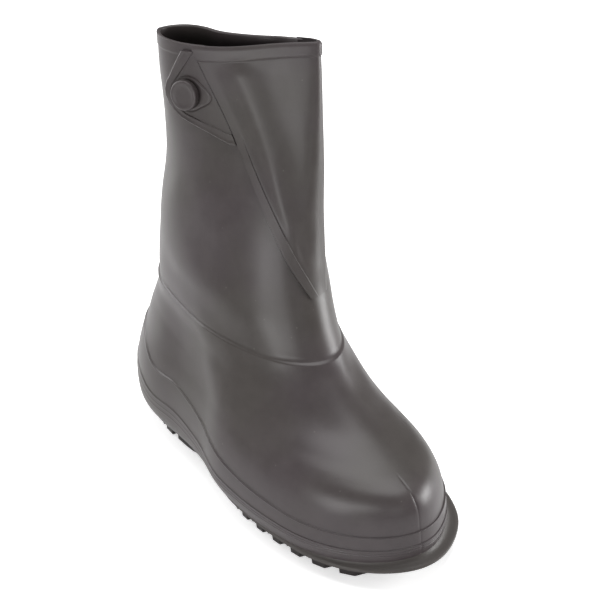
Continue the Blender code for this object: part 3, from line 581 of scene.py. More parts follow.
def make_button():
    """The button, spun from half of its outline."""
    under = GAP + TAB_THICK + TAB_BORDER_RISE + 2 * GAP
    top = under + BUTTON_HEAD
    profile = [(radius * MM, top - depth * MM) for radius, depth in FACE_PROFILE]
    for i in range(RIM_ARC_STEPS + 1):
        turn = math.pi / 2 * i / RIM_ARC_STEPS
        radius = BUTTON_RADIUS - BUTTON_RIM * (1 - math.sin(turn))
        profile.append((radius, top - BUTTON_RIM * (1 - math.cos(turn))))
    profile += [(BUTTON_RADIUS - inwards * MM, under + height * MM) for inwards, height in UNDER_PROFILE]
    profile += [(STEM_RADIUS, under), (STEM_RADIUS, 2 * GAP), (0, 2 * GAP)]
    mesh = bpy.data.meshes.new("button_skin")
    mesh.from_pydata([(r, 0, z) for r, z in profile], [(i, i + 1) for i in range(len(profile) - 1)], [])
    thing = link("button_skin", mesh)
    turned = thing.modifiers.new("turned", "SCREW")
    turned.steps = BUTTON_STEPS
    turned.render_steps = BUTTON_STEPS
    turned.use_merge_vertices = True
    turned.merge_threshold = 0.02 * MM
    turned.use_smooth_shade = True
    thing.matrix_world = button_matrix()
    plain = settle(thing)
    plain.data.set_sharp_from_angle(angle=math.radians(40))
    return plain


button = make_button()
print("button faces:", len(button.data.polygons))

# %% [markdown]
# The sole is moulded in one piece: a plate with a lip, a waist with an arch, and a tread of edge lugs, bent
# bars and round bosses. Each block is drawn in plan, raised, and joined to the plate with a Boolean union.
# A small bevel on every lug, bar and boss catches the light, as a moulded edge does.

# %% The sole's tables, in millimetres
Edge = namedtuple("Edge", "height rear front lateral medial")
SOLE_EDGE = [
    Edge(6.5, 3.0, 300.0, 60.5, 53.5), Edge(7.4, 1.7, 301.4, 61.7, 54.7), Edge(9.3, 1.0, 303.0, 62.5, 55.6),
    Edge(10.0, -0.8, 306.5, 63.8, 59.0), Edge(10.6, -2.4, 310.2, 65.1, 62.0),
    Edge(11.1, -3.0, 311.4, 65.5, 63.1), Edge(11.9, -3.0, 311.5, 65.5, 63.2),
    Edge(12.8, -2.8, 311.2, 65.4, 62.9), Edge(13.5, -2.5, 310.2, 65.3, 62.0),
    Edge(14.0, -2.2, 308.7, 65.2, 60.6), Edge(14.6, -2.0, 306.9, 65.1, 59.0),
    Edge(15.7, -1.8, 305.2, 65.0, 57.5), Edge(17.2, -1.6, 304.1, 64.8, 56.5),
    Edge(18.8, -1.2, 303.3, 64.4, 55.7), Edge(18.9, -0.3, 302.4, 63.6, 54.8),
    Edge(13.0, -0.3, 302.4, 63.6, 54.8),
]
Lug = namedtuple("Lug", "outer outer_length inner inner_length inner_y stud")
LATERAL_LUGS = [
    Lug(272.5, 9, 273.0, 17, -18, False), Lug(253.5, 9, 254.8, 16, -28, True),
    Lug(234.5, 8, 236.5, 13, -34, False), Lug(215.8, 7, 218.5, 12, -38, True),
    Lug(198.0, 7, 201.0, 11, -40, False), Lug(180.5, 6, 183.5, 12, -41, True),
    Lug(61.5, 9, 61.5, 12, -31, False), Lug(47.0, 8, 47.0, 9, -29, False),
    Lug(33.5, 8, 32.0, 10, -24, False),
]
MEDIAL_LUGS = [
    Lug(278.5, 11, 278.0, 16, 22, False), Lug(263.5, 10, 261.0, 13, 29, True),
    Lug(247.5, 10, 244.3, 12, 32, False), Lug(230.5, 10, 228.0, 12, 33, True),
    Lug(213.0, 10, 210.7, 12, 33, False), Lug(195.0, 12, 193.5, 14, 31, True),
    Lug(73.5, 10, 74.0, 12, 24, False), Lug(59.5, 9, 60.0, 11, 25, False),
    Lug(45.0, 9, 44.6, 12, 25, False),
]
BOSSES = [
    (272, -8), (275, 13), (242, -22), (248, -1), (246, 20), (210, -27), (220, -3), (216, 22), (186, -26),
    (191, -5), (191, 18), (63, -19), (74, -3), (35, -14), (71, 14), (45, -1), (42, 15), (15, 3),
]
BARS = [
    [(257, -19), (264, 0), (259, 19)], [(226, -28), (236, -2), (231, 22)], [(197, -30), (206, -3), (202, 20)],
    [(48, -20), (60, -3), (57, 17)], [(24, -8), (31, 2), (29, 10)],
]
WAIST_OUTER = [171, 150, 130, 110, 90, 74]
WAIST_INNER = [91, 110, 130, 150, 170, 185]
WAIST_FRONT = [(184, 26), (178, 20), (179, -6), (173, -33)]
WAIST_REAR = [(76, -27), (86, -4), (87, 19)]
Rise = namedtuple("Rise", "x height")
ARCH_RISE = [Rise(70, 1.5), Rise(92, 1.5), Rise(112, 7), Rise(150, 7), Rise(172, 1.5), Rise(190, 1.5)]
TREAD_ROOT = 1.0 * MM
EDGE_INSET = 0.4 * MM
BOSS_RADIUS = 4.7 * MM
BAR_WIDTH = 7.4 * MM
STUD_RADIUS = 1.6 * MM
STUD_SETBACK = 6 * MM
STUD_POCKETS = ((3.1 * MM, 1.0 * MM), (STUD_RADIUS + GAP, 5.8 * MM))     # radius and depth
LUG_DRAFT = 0.8 * MM
LUG_BEVEL = 0.45 * MM
BAR_DRAFT = 0.3 * MM
BOSS_DRAFT = 0.5 * MM
SMALL_BEVEL = 0.4 * MM
ROUND_SIDES = 24
WAIST_CUTS = 3             # millimetres between the cuts that let the waist's foot follow the arch

# %% Helpers for the tread


def edge_ring(edge, turns):
    """One ring of the sole plate."""
    rear, front = (np.array([x, 0, edge.height]) * MM + np.zeros((len(turns), 1))
                   for x in (edge.rear, edge.front))
    points = outline(turns, rear, front, edge.lateral * MM, edge.medial * MM)
    points[:, 2] += spring(points[:, 0])
    return points


def turn_at(edge, x):
    """The angle at which a ring of the sole reaches x."""
    return math.acos(1 - 2 * (x / MM - edge.rear) / (edge.front - edge.rear))


def tread_edge(x, outer):
    """How far the tread reaches to one side at x."""
    turn = turn_at(SOLE_EDGE[0], x)
    return float(edge_ring(SOLE_EDGE[0], np.array([turn if outer else -turn]))[0, 1])


def prism(bm, corners, draft=0.0, bevel=0.0):
    """A block from the ground up into the plate, wider at its root by the draft, with its foot bevelled if a
    bevel is given.
    """
    middle = sum((Vector(c) for c in corners), Vector((0, 0))) / len(corners)
    low = []
    high = []
    for corner in map(Vector, corners):
        root = corner + (corner - middle).normalized() * draft
        low.append(bm.verts.new((corner.x, corner.y, float(spring(corner.x)))))
        high.append(bm.verts.new((root.x, root.y, LUG_HEIGHT + TREAD_ROOT + float(spring(root.x)))))
    count = len(low)
    for i in range(count):
        bm.faces.new((low[i], low[(i + 1) % count], high[(i + 1) % count], high[i]))
    foot = bm.faces.new(low)
    bm.faces.new(high)
    if bevel:
        bmesh.ops.bevel(bm, geom=list(foot.edges), offset=bevel, segments=2, affect="EDGES", profile=0.5)


def lug_corners(lug, outer):
    """A lug in plan: its end at the sole's edge, then its inner end."""
    inset = EDGE_INSET if outer else -EDGE_INSET
    corners = []
    for sign in (1, -1):
        x = (lug.outer + sign * lug.outer_length / 2) * MM
        corners.append((x, tread_edge(x, outer) + inset))
    for sign in (-1, 1):
        corners.append(((lug.inner + sign * lug.inner_length / 2) * MM, lug.inner_y * MM))
    return corners


def bar_corners(points, steps=6):
    """The outline of a bent bar with round ends."""
    points = [Vector(p) * MM for p in points]
    sides = []
    for a, b in zip(points, points[1:]):
        way = (b - a).normalized()
        sides.append(Vector((-way.y, way.x)) * BAR_WIDTH / 2)
    mitre = (sides[0] + sides[1]).normalized() * (BAR_WIDTH / 2) / math.cos(sides[0].angle(sides[1]) / 2)
    corners = []
    for end, side, sign in ((points[0], sides[0], 1), (points[2], sides[1], -1)):
        for i in range(steps + 1):
            corners.append(end + Matrix.Rotation(math.pi * i / steps, 2) @ (side * sign))
        corners.append(points[1] - mitre * sign)
    return [tuple(c) for c in corners]


def stud_places():
    """Every stud's place, in the drawing's frame."""
    places = [(x * MM, y * MM) for x, y in BOSSES]
    for lugs, sign in ((LATERAL_LUGS, -1), (MEDIAL_LUGS, 1)):
        places += [(lug.inner * MM, lug.inner_y * MM + sign * STUD_SETBACK) for lug in lugs if lug.stud]
    return places


def scratch(name, build):
    """A temporary object for a Boolean, drawn in the drawing's frame."""
    bm = bmesh.new()
    build(bm)
    bmesh.ops.recalc_face_normals(bm, faces=bm.faces)
    mesh = bpy.data.meshes.new(name)
    bm.to_mesh(mesh)
    bm.free()
    thing = link(name, mesh)
    thing.location = PLACE
    return thing


# %% The sole
SOLE_AROUND = 160


def plate():
    """The plate with its lip, closed below and above by quads from side to side."""
    turns = np.array([2 * math.pi * i / SOLE_AROUND for i in range(SOLE_AROUND)])
    rows = np.array([edge_ring(edge, turns) for edge in SOLE_EDGE])
    faces = grid_faces(len(SOLE_EDGE), SOLE_AROUND, wrap_columns=True)
    half = SOLE_AROUND // 2
    for start in (0, (len(SOLE_EDGE) - 1) * SOLE_AROUND):
        for i in range(half):
            corners = [start + i, start + i + 1, start + (-i - 1) % SOLE_AROUND, start + (-i) % SOLE_AROUND]
            faces.append(tuple(dict.fromkeys(corners)))
    return mesh_object("sole_skin", rows, faces, 30)


def tread(bm):
    """Every lug, bar and boss."""
    for lugs, outer in ((LATERAL_LUGS, True), (MEDIAL_LUGS, False)):
        for lug in lugs:
            prism(bm, lug_corners(lug, outer), LUG_DRAFT, LUG_BEVEL)
    for points in BARS:
        prism(bm, bar_corners(points), BAR_DRAFT, SMALL_BEVEL)
    turns = [2 * math.pi * i / ROUND_SIDES for i in range(ROUND_SIDES)]
    for x, y in BOSSES:
        ring = [(x * MM + BOSS_RADIUS * math.cos(a), y * MM + BOSS_RADIUS * math.sin(a)) for a in turns]
        prism(bm, ring, BOSS_DRAFT, SMALL_BEVEL)


def waist(bm):
    """The waist's block, cut across so that its foot can follow the arch."""
    rise = Smooth([row.x for row in ARCH_RISE], [(row.height,) for row in ARCH_RISE])
    corners = [(x * MM, tread_edge(x * MM, True) + EDGE_INSET) for x in WAIST_OUTER]
    corners += [(x * MM, y * MM) for x, y in WAIST_REAR]
    corners += [(x * MM, tread_edge(x * MM, False) - EDGE_INSET) for x in WAIST_INNER]
    corners += [(x * MM, y * MM) for x, y in WAIST_FRONT]
    prism(bm, corners)
    for x in range(WAIST_OUTER[-1] + WAIST_CUTS, WAIST_INNER[-1], WAIST_CUTS):
        bmesh.ops.bisect_plane(bm, geom=bm.verts[:] + bm.edges[:] + bm.faces[:], dist=0.001 * MM,
                               plane_co=(x * MM, 0, 0), plane_no=(1, 0, 0))
    for vert in bm.verts:
        if vert.co.z < LUG_HEIGHT / 2:
            vert.co.z = float(rise(vert.co.x / MM)[0]) * MM


def recesses(bm):
    """Shallow round pockets with a deeper hole for each stud."""
    for x, y in stud_places():
        for radius, depth in STUD_POCKETS:
            hole = bmesh.ops.create_cone(bm, cap_ends=True, segments=ROUND_SIDES, radius1=radius,
                                         radius2=radius, depth=2 * depth)
            bmesh.ops.translate(bm, verts=hole["verts"], vec=(x, y, float(spring(x))))


def make_sole():
    """The plate with the tread and the waist joined on and the studs' pockets cut out."""
    sole = plate()
    tools = [scratch("tread_blocks", tread), scratch("waist_block", waist), scratch("stud_pockets", recesses)]
    for tool, operation in zip(tools, ("UNION", "UNION", "DIFFERENCE")):
        cut = sole.modifiers.new(operation.lower(), "BOOLEAN")
        cut.operation = operation
        cut.object = tool
        cut.solver = "EXACT"
        cut.use_self = operation == "DIFFERENCE"
    plain = settle(sole)
    for tool in tools:
        bpy.data.objects.remove(tool, do_unlink=True)
    plain.data.shade_smooth()
    plain.data.set_sharp_from_angle(angle=math.radians(28))
    return plain


sole = make_sole()
print("sole faces:", len(sole.data.polygons))

# %% [markdown]
# Small moulded details repeat along the sole: a low arched rim over each outer lug of the forefoot, and a
# rough, pebbled strip at the outer side of the toe. Geometry Nodes place one small form at many points,
# turned outwards, and the result is made real.

# %% Helpers for node trees


def socket_id(tree, label):
    """The identifier of a named input."""
    for item in tree.interface.items_tree:
        if item.item_type == "SOCKET" and item.in_out == "INPUT" and item.name == label:
            return item.identifier
    raise ValueError(label)


def new_tree(kind, name, inputs, outputs):
    """A node tree with named inputs and outputs; an input that has a value starts at it."""
    tree = bpy.data.node_groups.new(name, kind)
    for label, socket, value in inputs:
        item = tree.interface.new_socket(name=label, in_out="INPUT", socket_type="NodeSocket" + socket)
        if value is not None:
            item.default_value = value
    for label, socket in outputs:
        tree.interface.new_socket(name=label, in_out="OUTPUT", socket_type="NodeSocket" + socket)
    return tree, tree.nodes.new("NodeGroupInput"), tree.nodes.new("NodeGroupOutput")


def node(tree, kind, inputs=None, **settings):
    """A node with its settings and inputs; an input given as a socket is linked."""
    made = tree.nodes.new(kind)
    for key, value in settings.items():
        setattr(made, key, value)
    for key, value in (inputs or {}).items():
        if isinstance(value, bpy.types.NodeSocket):
            tree.links.new(value, made.inputs[key])
        else:
            made.inputs[key].default_value = value
    return made


def plant(tree, come, go, placing):
    """The end of a geometry tree: instances are placed, made real and given the material."""
    place = node(tree, "GeometryNodeInstanceOnPoints", placing)
    real = node(tree, "GeometryNodeRealizeInstances", {"Geometry": place.outputs["Instances"]})
    paint = node(tree, "GeometryNodeSetMaterial", {"Geometry": real.outputs["Geometry"],
                                                   "Material": come.outputs["Material"]})
    tree.links.new(paint.outputs["Geometry"], go.inputs["Geometry"])
    return tree


def grow(thing, tree, values):
    """Runs a tree on an object and keeps the result as a plain mesh."""
    modifier = thing.modifiers.new("grown", "NODES")
    modifier.node_group = tree
    for label, value in values.items():
        modifier[socket_id(tree, label)] = value
    plain = settle(thing)
    plain.data.shade_smooth()
    print(plain.name, "faces:", len(plain.data.polygons))
    return plain


def points_object(name, points, turns):
    """Loose points with a turn about the vertical at each."""
    mesh = raw_mesh(name, points)
    mesh.attributes.new("turn", "FLOAT", "POINT").data.foreach_set("value", turns)
    return link(name, mesh)


# %% Arched rims over the outer lugs
RIM_RADIUS = 5.2 * MM
RIM_TUBE = 0.75 * MM
RIM_LUGS = 6
RIM_LEAN = math.radians(78)
RIM_HEIGHT = 7.0 * MM
RIM_AHEAD = 1              # millimetres ahead of its lug's middle


def rim_tree():
    """Half of a thin ring, stood nearly upright at each point."""
    tree, come, go = new_tree(
        "GeometryNodeTree", "arched rims",
        [("Geometry", "Geometry", None), ("Radius", "Float", RIM_RADIUS), ("Tube", "Float", RIM_TUBE),
         ("Material", "Material", None)], [("Geometry", "Geometry")])
    arc = node(tree, "GeometryNodeCurveArc", {"Resolution": 17, "Radius": come.outputs["Radius"],
                                              "Start Angle": 0.0, "Sweep Angle": math.pi}, mode="RADIUS")
    ring = node(tree, "GeometryNodeCurvePrimitiveCircle", {"Resolution": 8, "Radius": come.outputs["Tube"]})
    tube = node(tree, "GeometryNodeCurveToMesh", {"Curve": arc.outputs["Curve"], "Fill Caps": True,
                                                  "Profile Curve": ring.outputs["Curve"]})
    upright = node(tree, "GeometryNodeTransform", {"Geometry": tube.outputs["Mesh"],
                                                   "Rotation": (RIM_LEAN, 0, 0)})
    turn = node(tree, "GeometryNodeInputNamedAttribute", {"Name": "turn"}, data_type="FLOAT")
    spin = node(tree, "ShaderNodeCombineXYZ", {"Z": turn.outputs["Attribute"]})
    return plant(tree, come, go, {"Points": come.outputs["Geometry"],
                                  "Instance": upright.outputs["Geometry"],
                                  "Rotation": spin.outputs["Vector"]})


def side_place(x, height):
    """A point on the outer sidewall of the sole at x, and the turn that faces it outwards."""
    wall = SOLE_EDGE[2]
    turn = turn_at(wall, x)
    near = edge_ring(wall, np.array([turn - 0.02, turn, turn + 0.02]))
    run = near[2] - near[0]
    point = near[1].copy()
    point[2] = height + float(spring(point[0]))
    return point, math.atan2(run[1], run[0])


# %% The pebbled strip at the toe
PEBBLE = 0.5 * MM
PEBBLE_SEED = 7
PEBBLE_SPACING = 1.1 * MM
PEBBLE_DENSITY = 900000.0
STRIP_FROM = math.radians(118)
STRIP_TO = math.radians(178)


def pebble_tree():
    """Small grains of changing size, scattered over a strip."""
    tree, come, go = new_tree(
        "GeometryNodeTree", "pebbles",
        [("Geometry", "Geometry", None), ("Size", "Float", PEBBLE), ("Seed", "Int", PEBBLE_SEED),
         ("Spacing", "Float", PEBBLE_SPACING), ("Material", "Material", None)], [("Geometry", "Geometry")])
    spread = node(tree, "GeometryNodeDistributePointsOnFaces",
                  {"Mesh": come.outputs["Geometry"], "Distance Min": come.outputs["Spacing"],
                   "Density Max": PEBBLE_DENSITY, "Seed": come.outputs["Seed"]}, distribute_method="POISSON")
    grain = node(tree, "GeometryNodeMeshIcoSphere", {"Radius": come.outputs["Size"], "Subdivisions": 1})
    size = node(tree, "FunctionNodeRandomValue", {"Min": (0.6, 0.6, 0.5), "Max": (1.3, 1.2, 0.9)},
                data_type="FLOAT_VECTOR")
    return plant(tree, come, go, {"Points": spread.outputs["Points"], "Instance": grain.outputs["Mesh"],
                                  "Rotation": spread.outputs["Rotation"], "Scale": size.outputs[0]})


def strip_object():
    """The part of the sole's side that carries the pebbles, as an open strip."""
    turns = np.linspace(STRIP_FROM, STRIP_TO, 40)
    rows = np.array([edge_ring(edge, turns) for edge in SOLE_EDGE[1:4]])
    return link("toe_pebbles", raw_mesh("toe_pebbles", rows, grid_faces(3, len(turns))))


# %% [markdown]
# The rubber is one compound all over, so its look is a shared group: a warm dark grey that drifts a little
# towards purple, pale specks of dust, and a fine grain that breaks up the gloss. Scuffs are a second
# group, stronger near the ground, where the shoe is knocked.

# %% Shader groups
DEEP_SHADE = (0.015, 0.013, 0.012, 1)
PALE_BLOOM = (0.4, 0.38, 0.35, 1)
DUST = (0.33, 0.31, 0.28, 1)


def mix(tree, factor, a, b):
    """Colour a where the factor is 0 and b where it is 1."""
    made = tree.nodes.new("ShaderNodeMix")
    made.data_type = "RGBA"
    for key, value in ((0, factor), (6, a), (7, b)):
        if isinstance(value, bpy.types.NodeSocket):
            tree.links.new(value, made.inputs[key])
        else:
            made.inputs[key].default_value = value
    return made.outputs[2]


def ramp(tree, value, low, high):
    """A soft step of a value, from 0 at low to 1 at high."""
    return node(tree, "ShaderNodeMapRange", {"Value": value, "From Min": low, "From Max": high},
                interpolation_type="SMOOTHSTEP").outputs["Result"]


def stretch(tree, value, low, high):
    """A value between 0 and 1 stretched to lie between low and high."""
    return node(tree, "ShaderNodeMapRange", {"Value": value, "To Min": low, "To Max": high}).outputs["Result"]


def maths(tree, operation, a, b):
    return node(tree, "ShaderNodeMath", {0: a, 1: b}, operation=operation).outputs[0]


def sum_of(tree, a, b, scale):
    """a plus b times scale."""
    return node(tree, "ShaderNodeMath", {0: b, 1: scale, 2: a}, operation="MULTIPLY_ADD").outputs[0]


def position(tree):
    """Where a point lies in the frame."""
    return node(tree, "ShaderNodeTexCoord").outputs["Object"]


def height_of(tree):
    return node(tree, "ShaderNodeSeparateXYZ", {"Vector": position(tree)}).outputs["Z"]


def noise(tree, where, scale, detail, roughness=0.5):
    return node(tree, "ShaderNodeTexNoise", {"Vector": where, "Scale": scale, "Detail": detail,
                                             "Roughness": roughness}).outputs["Fac"]


def compound_group():
    """The rubber's colour, roughness and grain."""
    tree, come, go = new_tree(
        "ShaderNodeTree", "rubber compound",
        [("Base", "Color", (0.1, 0.09, 0.085, 1)), ("Tint", "Color", (0.1, 0.08, 0.095, 1)),
         ("Roughness", "Float", 0.45), ("Specks", "Float", 0.3), ("Grain", "Float", 1.0)],
        [("Color", "Color"), ("Roughness", "Float"), ("Height", "Float")])
    where = position(tree)
    drift = noise(tree, where, 11.0, 3.0)
    cloud = noise(tree, where, 70.0, 5.0, 0.6)
    fine = noise(tree, where, 1900.0, 2.0)
    speck = node(tree, "ShaderNodeTexVoronoi", {"Vector": where, "Scale": 210.0, "Randomness": 1.0})
    chosen = ramp(tree, speck.outputs["Color"], 0.80, 0.86)
    dot = ramp(tree, speck.outputs["Distance"], 0.16, 0.05)
    mask = maths(tree, "MULTIPLY", maths(tree, "MULTIPLY", chosen, dot), come.outputs["Specks"])
    colour = mix(tree, ramp(tree, drift, 0.35, 0.65), come.outputs["Base"], come.outputs["Tint"])
    colour = mix(tree, ramp(tree, cloud, 0.3, 0.75), mix(tree, 0.08, colour, DEEP_SHADE),
                 mix(tree, 0.012, colour, PALE_BLOOM))
    rough = sum_of(tree, come.outputs["Roughness"], maths(tree, "SUBTRACT", cloud, 0.5), 0.12)
    height = sum_of(tree, maths(tree, "MULTIPLY", fine, come.outputs["Grain"]), cloud, 1.2)
    tree.links.new(mix(tree, mask, colour, DUST), go.inputs["Color"])
    tree.links.new(rough, go.inputs["Roughness"])
    tree.links.new(sum_of(tree, height, mask, 1.5), go.inputs["Height"])
    return tree


def scuff_group():
    """Rubbed marks that fade out from one height to another."""
    tree, come, go = new_tree(
        "ShaderNodeTree", "scuffs",
        [("Color", "Color", (0.1, 0.1, 0.1, 1)), ("Scuffed", "Color", (0.2, 0.19, 0.18, 1)),
         ("Low", "Float", 0.0), ("High", "Float", 0.08), ("Amount", "Float", 0.5)],
        [("Color", "Color"), ("Mask", "Float")])
    near = node(tree, "ShaderNodeMapRange", {"Value": height_of(tree), "From Min": come.outputs["High"],
                                             "From Max": come.outputs["Low"]}).outputs["Result"]
    flattened = node(tree, "ShaderNodeMapping", {"Vector": position(tree), "Scale": (1.0, 1.0, 4.0)})
    rub = noise(tree, flattened.outputs["Vector"], 130.0, 7.0, 0.7)
    mask = maths(tree, "MULTIPLY", ramp(tree, rub, 0.56, 0.72), near)
    mask = maths(tree, "MULTIPLY", mask, come.outputs["Amount"])
    tree.links.new(mix(tree, mask, come.outputs["Color"], come.outputs["Scuffed"]), go.inputs["Color"])
    tree.links.new(mask, go.inputs["Mask"])
    return tree


compound = compound_group()
scuffs = scuff_group()

# %% [markdown]
# Each piece has its own material, which places the shared groups with its own values. The Principled shader
# stays in the material, where its specular level is a plain number.

# %% Materials
SIDE_HEIGHT = 7 * MM       # the sole is darker below this height
SCUFF_PALER = 2.3
SCUFF_ROUGHER = 0.25
SPECULAR = 0.38


def new_material(name):
    """A material with its tree and its Principled shader."""
    material = bpy.data.materials.new(name)
    material.use_nodes = True
    return material, material.node_tree, material.node_tree.nodes["Principled BSDF"]


def emboss(tree, shader, strength, distance, height):
    """Feeds a height to the shader as a bump."""
    bump = node(tree, "ShaderNodeBump", {"Strength": strength, "Distance": distance, "Height": height})
    tree.links.new(bump.outputs["Normal"], shader.inputs["Normal"])


def rubber(name, base, tint, roughness, specks=0.1, grain=1.0, bump=0.12, scuff=0.4, low=0.0, high=0.06,
           side=None):
    """A rubber of the shared compound; side is the colour of all that lies above SIDE_HEIGHT."""
    material, tree, shader = new_material(name)
    body = node(tree, "ShaderNodeGroup", {"Base": (*base, 1), "Tint": (*tint, 1), "Roughness": roughness,
                                          "Specks": specks, "Grain": grain}, node_tree=compound)
    colour = body.outputs["Color"]
    if side:
        above = ramp(tree, height_of(tree), SIDE_HEIGHT - 0.8 * MM, SIDE_HEIGHT + 1.2 * MM)
        colour = mix(tree, above, colour, (*side, 1))
    scuffed = [min(c * SCUFF_PALER, 1) for c in base]
    wear = node(tree, "ShaderNodeGroup", {"Color": colour, "Scuffed": (*scuffed, 1), "Low": low, "High": high,
                                          "Amount": scuff}, node_tree=scuffs)
    tree.links.new(wear.outputs["Color"], shader.inputs["Base Color"])
    rough = sum_of(tree, body.outputs["Roughness"], wear.outputs["Mask"], SCUFF_ROUGHER)
    tree.links.new(rough, shader.inputs["Roughness"])
    emboss(tree, shader, bump, 0.2 * MM, body.outputs["Height"])
    shader.inputs["Specular IOR Level"].default_value = SPECULAR
    return material


WARM_GREY = (0.044, 0.038, 0.035)
PURPLE_GREY = (0.047, 0.038, 0.040)
SOLE_GREY = (0.018, 0.016, 0.0145)
upper_rubber = rubber("upper rubber", WARM_GREY, PURPLE_GREY, 0.37, high=0.035)
flap_rubber = rubber("flap rubber", WARM_GREY, PURPLE_GREY, 0.43, scuff=0.0)
tab_rubber = rubber("tab rubber", WARM_GREY, PURPLE_GREY, 0.40, scuff=0.0)
button_rubber = rubber("button rubber", WARM_GREY, PURPLE_GREY, 0.42, specks=0.15, scuff=0.0)
sole_rubber = rubber("sole rubber", SOLE_GREY, (0.020, 0.016, 0.016), 0.5, specks=0.5, grain=1.4, bump=0.25,
                     scuff=0.8, low=-0.002, high=0.020, side=WARM_GREY)
BRIGHT_METAL = (0.62, 0.59, 0.52, 1)
TARNISH = (0.30, 0.26, 0.20, 1)
DARK_YARN = (0.018, 0.016, 0.015, 1)
PALE_YARN = (0.055, 0.050, 0.046, 1)


def stud_material():
    """Worn metal, duller where it is tarnished."""
    material, tree, shader = new_material("stud metal")
    worn = noise(tree, position(tree), 700.0, 4.0)
    colour = mix(tree, ramp(tree, worn, 0.4, 0.65), BRIGHT_METAL, TARNISH)
    tree.links.new(colour, shader.inputs["Base Color"])
    tree.links.new(stretch(tree, worn, 0.25, 0.6), shader.inputs["Roughness"])
    shader.inputs["Metallic"].default_value = 1.0
    emboss(tree, shader, 0.3, 0.2 * MM, worn)
    return material


def cloth_material():
    """The insole's knitted backing: two crossed waves."""
    material, tree, shader = new_material("insole cloth")
    where = position(tree)
    warp, weft = (node(tree, "ShaderNodeTexWave", {"Vector": where, "Scale": 260.0, "Distortion": 0.6},
                       bands_direction=axis).outputs["Fac"] for axis in "XY")
    weave = maths(tree, "MULTIPLY", warp, weft)
    tree.links.new(mix(tree, weave, DARK_YARN, PALE_YARN), shader.inputs["Base Color"])
    shader.inputs["Roughness"].default_value = 0.9
    emboss(tree, shader, 0.6, 0.3 * MM, weave)
    return material


stud_metal = stud_material()
insole_cloth = cloth_material()

# %% Grow the rims and the pebbles
rim_spots = [side_place((lug.outer + RIM_AHEAD) * MM, RIM_HEIGHT) for lug in LATERAL_LUGS[:RIM_LUGS]]
rims = grow(points_object("lug_rims", [p for p, _ in rim_spots], [t for _, t in rim_spots]), rim_tree(),
            {"Radius": RIM_RADIUS, "Tube": RIM_TUBE, "Material": sole_rubber})
pebbles = grow(strip_object(), pebble_tree(), {"Size": PEBBLE, "Seed": PEBBLE_SEED,
                                               "Spacing": PEBBLE_SPACING, "Material": sole_rubber})

# %% [markdown]
# Every new piece is tied to the frame: it rides on the one rigid body and gets its material. Where a skin
# covers a plain solid, that solid is hidden.

# %% Tie the pieces to the frame


def dress(thing, material, slot, *nodes):
    """Gives a piece its material and its body, and hides the solids that it stands for; the slot is not used.
    """
    thing.data.materials.clear()
    thing.data.materials.append(material)
    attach(thing, "root")
    if nodes:
        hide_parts(*nodes)


dress(upper, upper_rubber, "upper_rubber", "upper")
dress(flap, flap_rubber, "flap_rubber", "closure_flap")
dress(tab, tab_rubber, "tab_rubber", "closure_tab")
dress(button, button_rubber, "button_rubber", "button")
dress(sole, sole_rubber, "sole_rubber", "outsole")
dress(rims, sole_rubber, "sole_rubber")
dress(pebbles, sole_rubber, "sole_rubber")
for name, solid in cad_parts.items():
    if name.startswith("stud") or name == "insole":
        for holder in solid.material_slots:
            holder.link = "OBJECT"
            holder.material = insole_cloth if name == "insole" else stud_metal

# %% [markdown]
# The floor and the light are a plain white studio: a wide soft light overhead, two in front of the shoe's
# outer side, one behind the heel and one beyond the inner side that draw its edges, and a weak one in front
# of the toe. The backdrop is brighter to the camera than to the rubber. The camera stands where the
# photograph's stood, about 1.7 m from the heel and looking down, and is turned to the middle of this shoe.

# %% The studio
Light = namedtuple("Light", "name place aim_height size power")
LIGHTS = [
    Light("overhead softbox", (-0.2, 0.2, 1.6), 0.1, (1.2, 1.0), 17),
    Light("key softbox", (0.75, -1.0, 0.62), 0.15, (0.3, 0.35), 2.6),
    Light("low side softbox", (0.42, -1.25, 0.4), 0.22, (0.35, 0.5), 5.5),
    Light("left edge light", (-1.3, -0.45, 0.6), 0.2, (0.6, 1.2), 13),
    Light("right edge light", (0.55, 1.25, 0.35), 0.2, (0.7, 0.6), 18),
    Light("front fill", (1.2, -0.35, 0.5), 0.2, (0.4, 0.5), 1.2),
]
FLOOR_DROP = -0.2 * MM     # keeps the floor from sharing a plane with the lugs
FLOOR_SIZE = 6


def area_light(light):
    """A soft light, turned to a point above the frame's origin."""
    data = bpy.data.lights.new(light.name, "AREA")
    data.shape = "RECTANGLE"
    data.size, data.size_y = light.size
    data.energy = light.power
    lamp = link(light.name, data)
    lamp.location = light.place
    aim = Vector((0, 0, light.aim_height)) - Vector(light.place)
    lamp.rotation_euler = aim.to_track_quat("-Z", "Y").to_euler()


def glow(tree, unseen, seen):
    """A strength that differs between the light that falls on the shoe and what the camera sees."""
    return stretch(tree, node(tree, "ShaderNodeLightPath").outputs["Is Camera Ray"], unseen, seen)


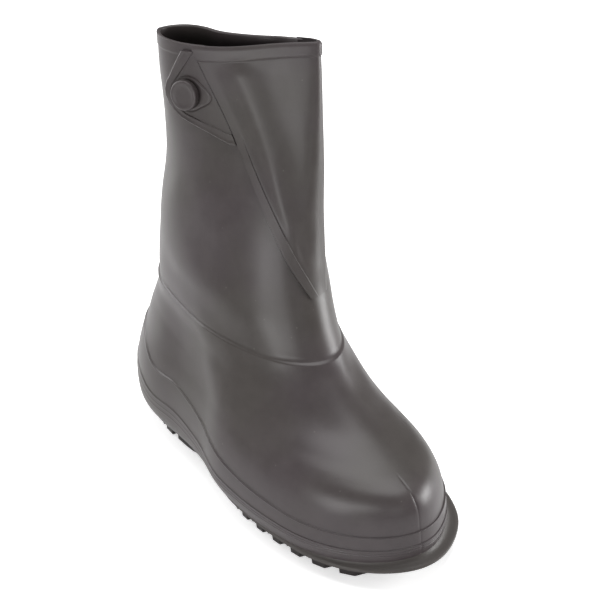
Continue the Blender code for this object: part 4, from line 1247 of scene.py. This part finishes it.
for light in LIGHTS:
    area_light(light)
world = bpy.data.worlds.new("studio")
world.use_nodes = True
backdrop = world.node_tree.nodes["Background"]
backdrop.inputs["Color"].default_value = (1, 1, 1, 1)
world.node_tree.links.new(glow(world.node_tree, 0.36, 1.0), backdrop.inputs["Strength"])
bpy.context.scene.world = world

bm = bmesh.new()
bmesh.ops.create_grid(bm, x_segments=1, y_segments=1, size=FLOOR_SIZE)
floor_mesh = bpy.data.meshes.new("floor")
bm.to_mesh(floor_mesh)
bm.free()
floor = link("floor", floor_mesh)
pale, pale_tree, pale_shader = new_material("pale floor")
pale_shader.inputs["Base Color"].default_value = (0.95, 0.95, 0.95, 1)
pale_shader.inputs["Emission Color"].default_value = (1, 1, 1, 1)
pale_shader.inputs["Roughness"].default_value = 0.7
pale_tree.links.new(glow(pale_tree, 0.05, 0.45), pale_shader.inputs["Emission Strength"])
floor_mesh.materials.append(pale)
floor.location.z = FLOOR_DROP

# %% The camera
FOCAL_PIXELS = 2200
FRAME_PIXELS = 600
SENSOR = 36
CAMERA_PLACE = Vector((1.223, -0.683, 0.934)) + Vector(PLACE)
PHOTO_YAW = 144.3
PHOTO_PITCH = -32.0
SHOE_CENTRE_PIXEL = 206    # the shoe's middle in the photograph, to the left of the frame's middle
turned = math.atan((FRAME_PIXELS / 2 - SHOE_CENTRE_PIXEL) / FOCAL_PIXELS)
yaw = math.radians(PHOTO_YAW)
pitch = math.radians(PHOTO_PITCH)
camera_data = bpy.data.cameras.new("camera")
camera_data.sensor_width = SENSOR
camera_data.lens = FOCAL_PIXELS / FRAME_PIXELS * SENSOR
camera = link("camera", camera_data)
camera.location = CAMERA_PLACE
look = Vector((math.cos(pitch) * math.cos(yaw), math.cos(pitch) * math.sin(yaw), math.sin(pitch)))
camera.rotation_euler = (look.to_track_quat("-Z", "Y") @ Quaternion((0, 1, 0), turned)).to_euler()
bpy.context.scene.camera = camera
bpy.context.scene.view_settings.view_transform = "Standard"
print("camera turned by degrees:", round(math.degrees(turned), 2))
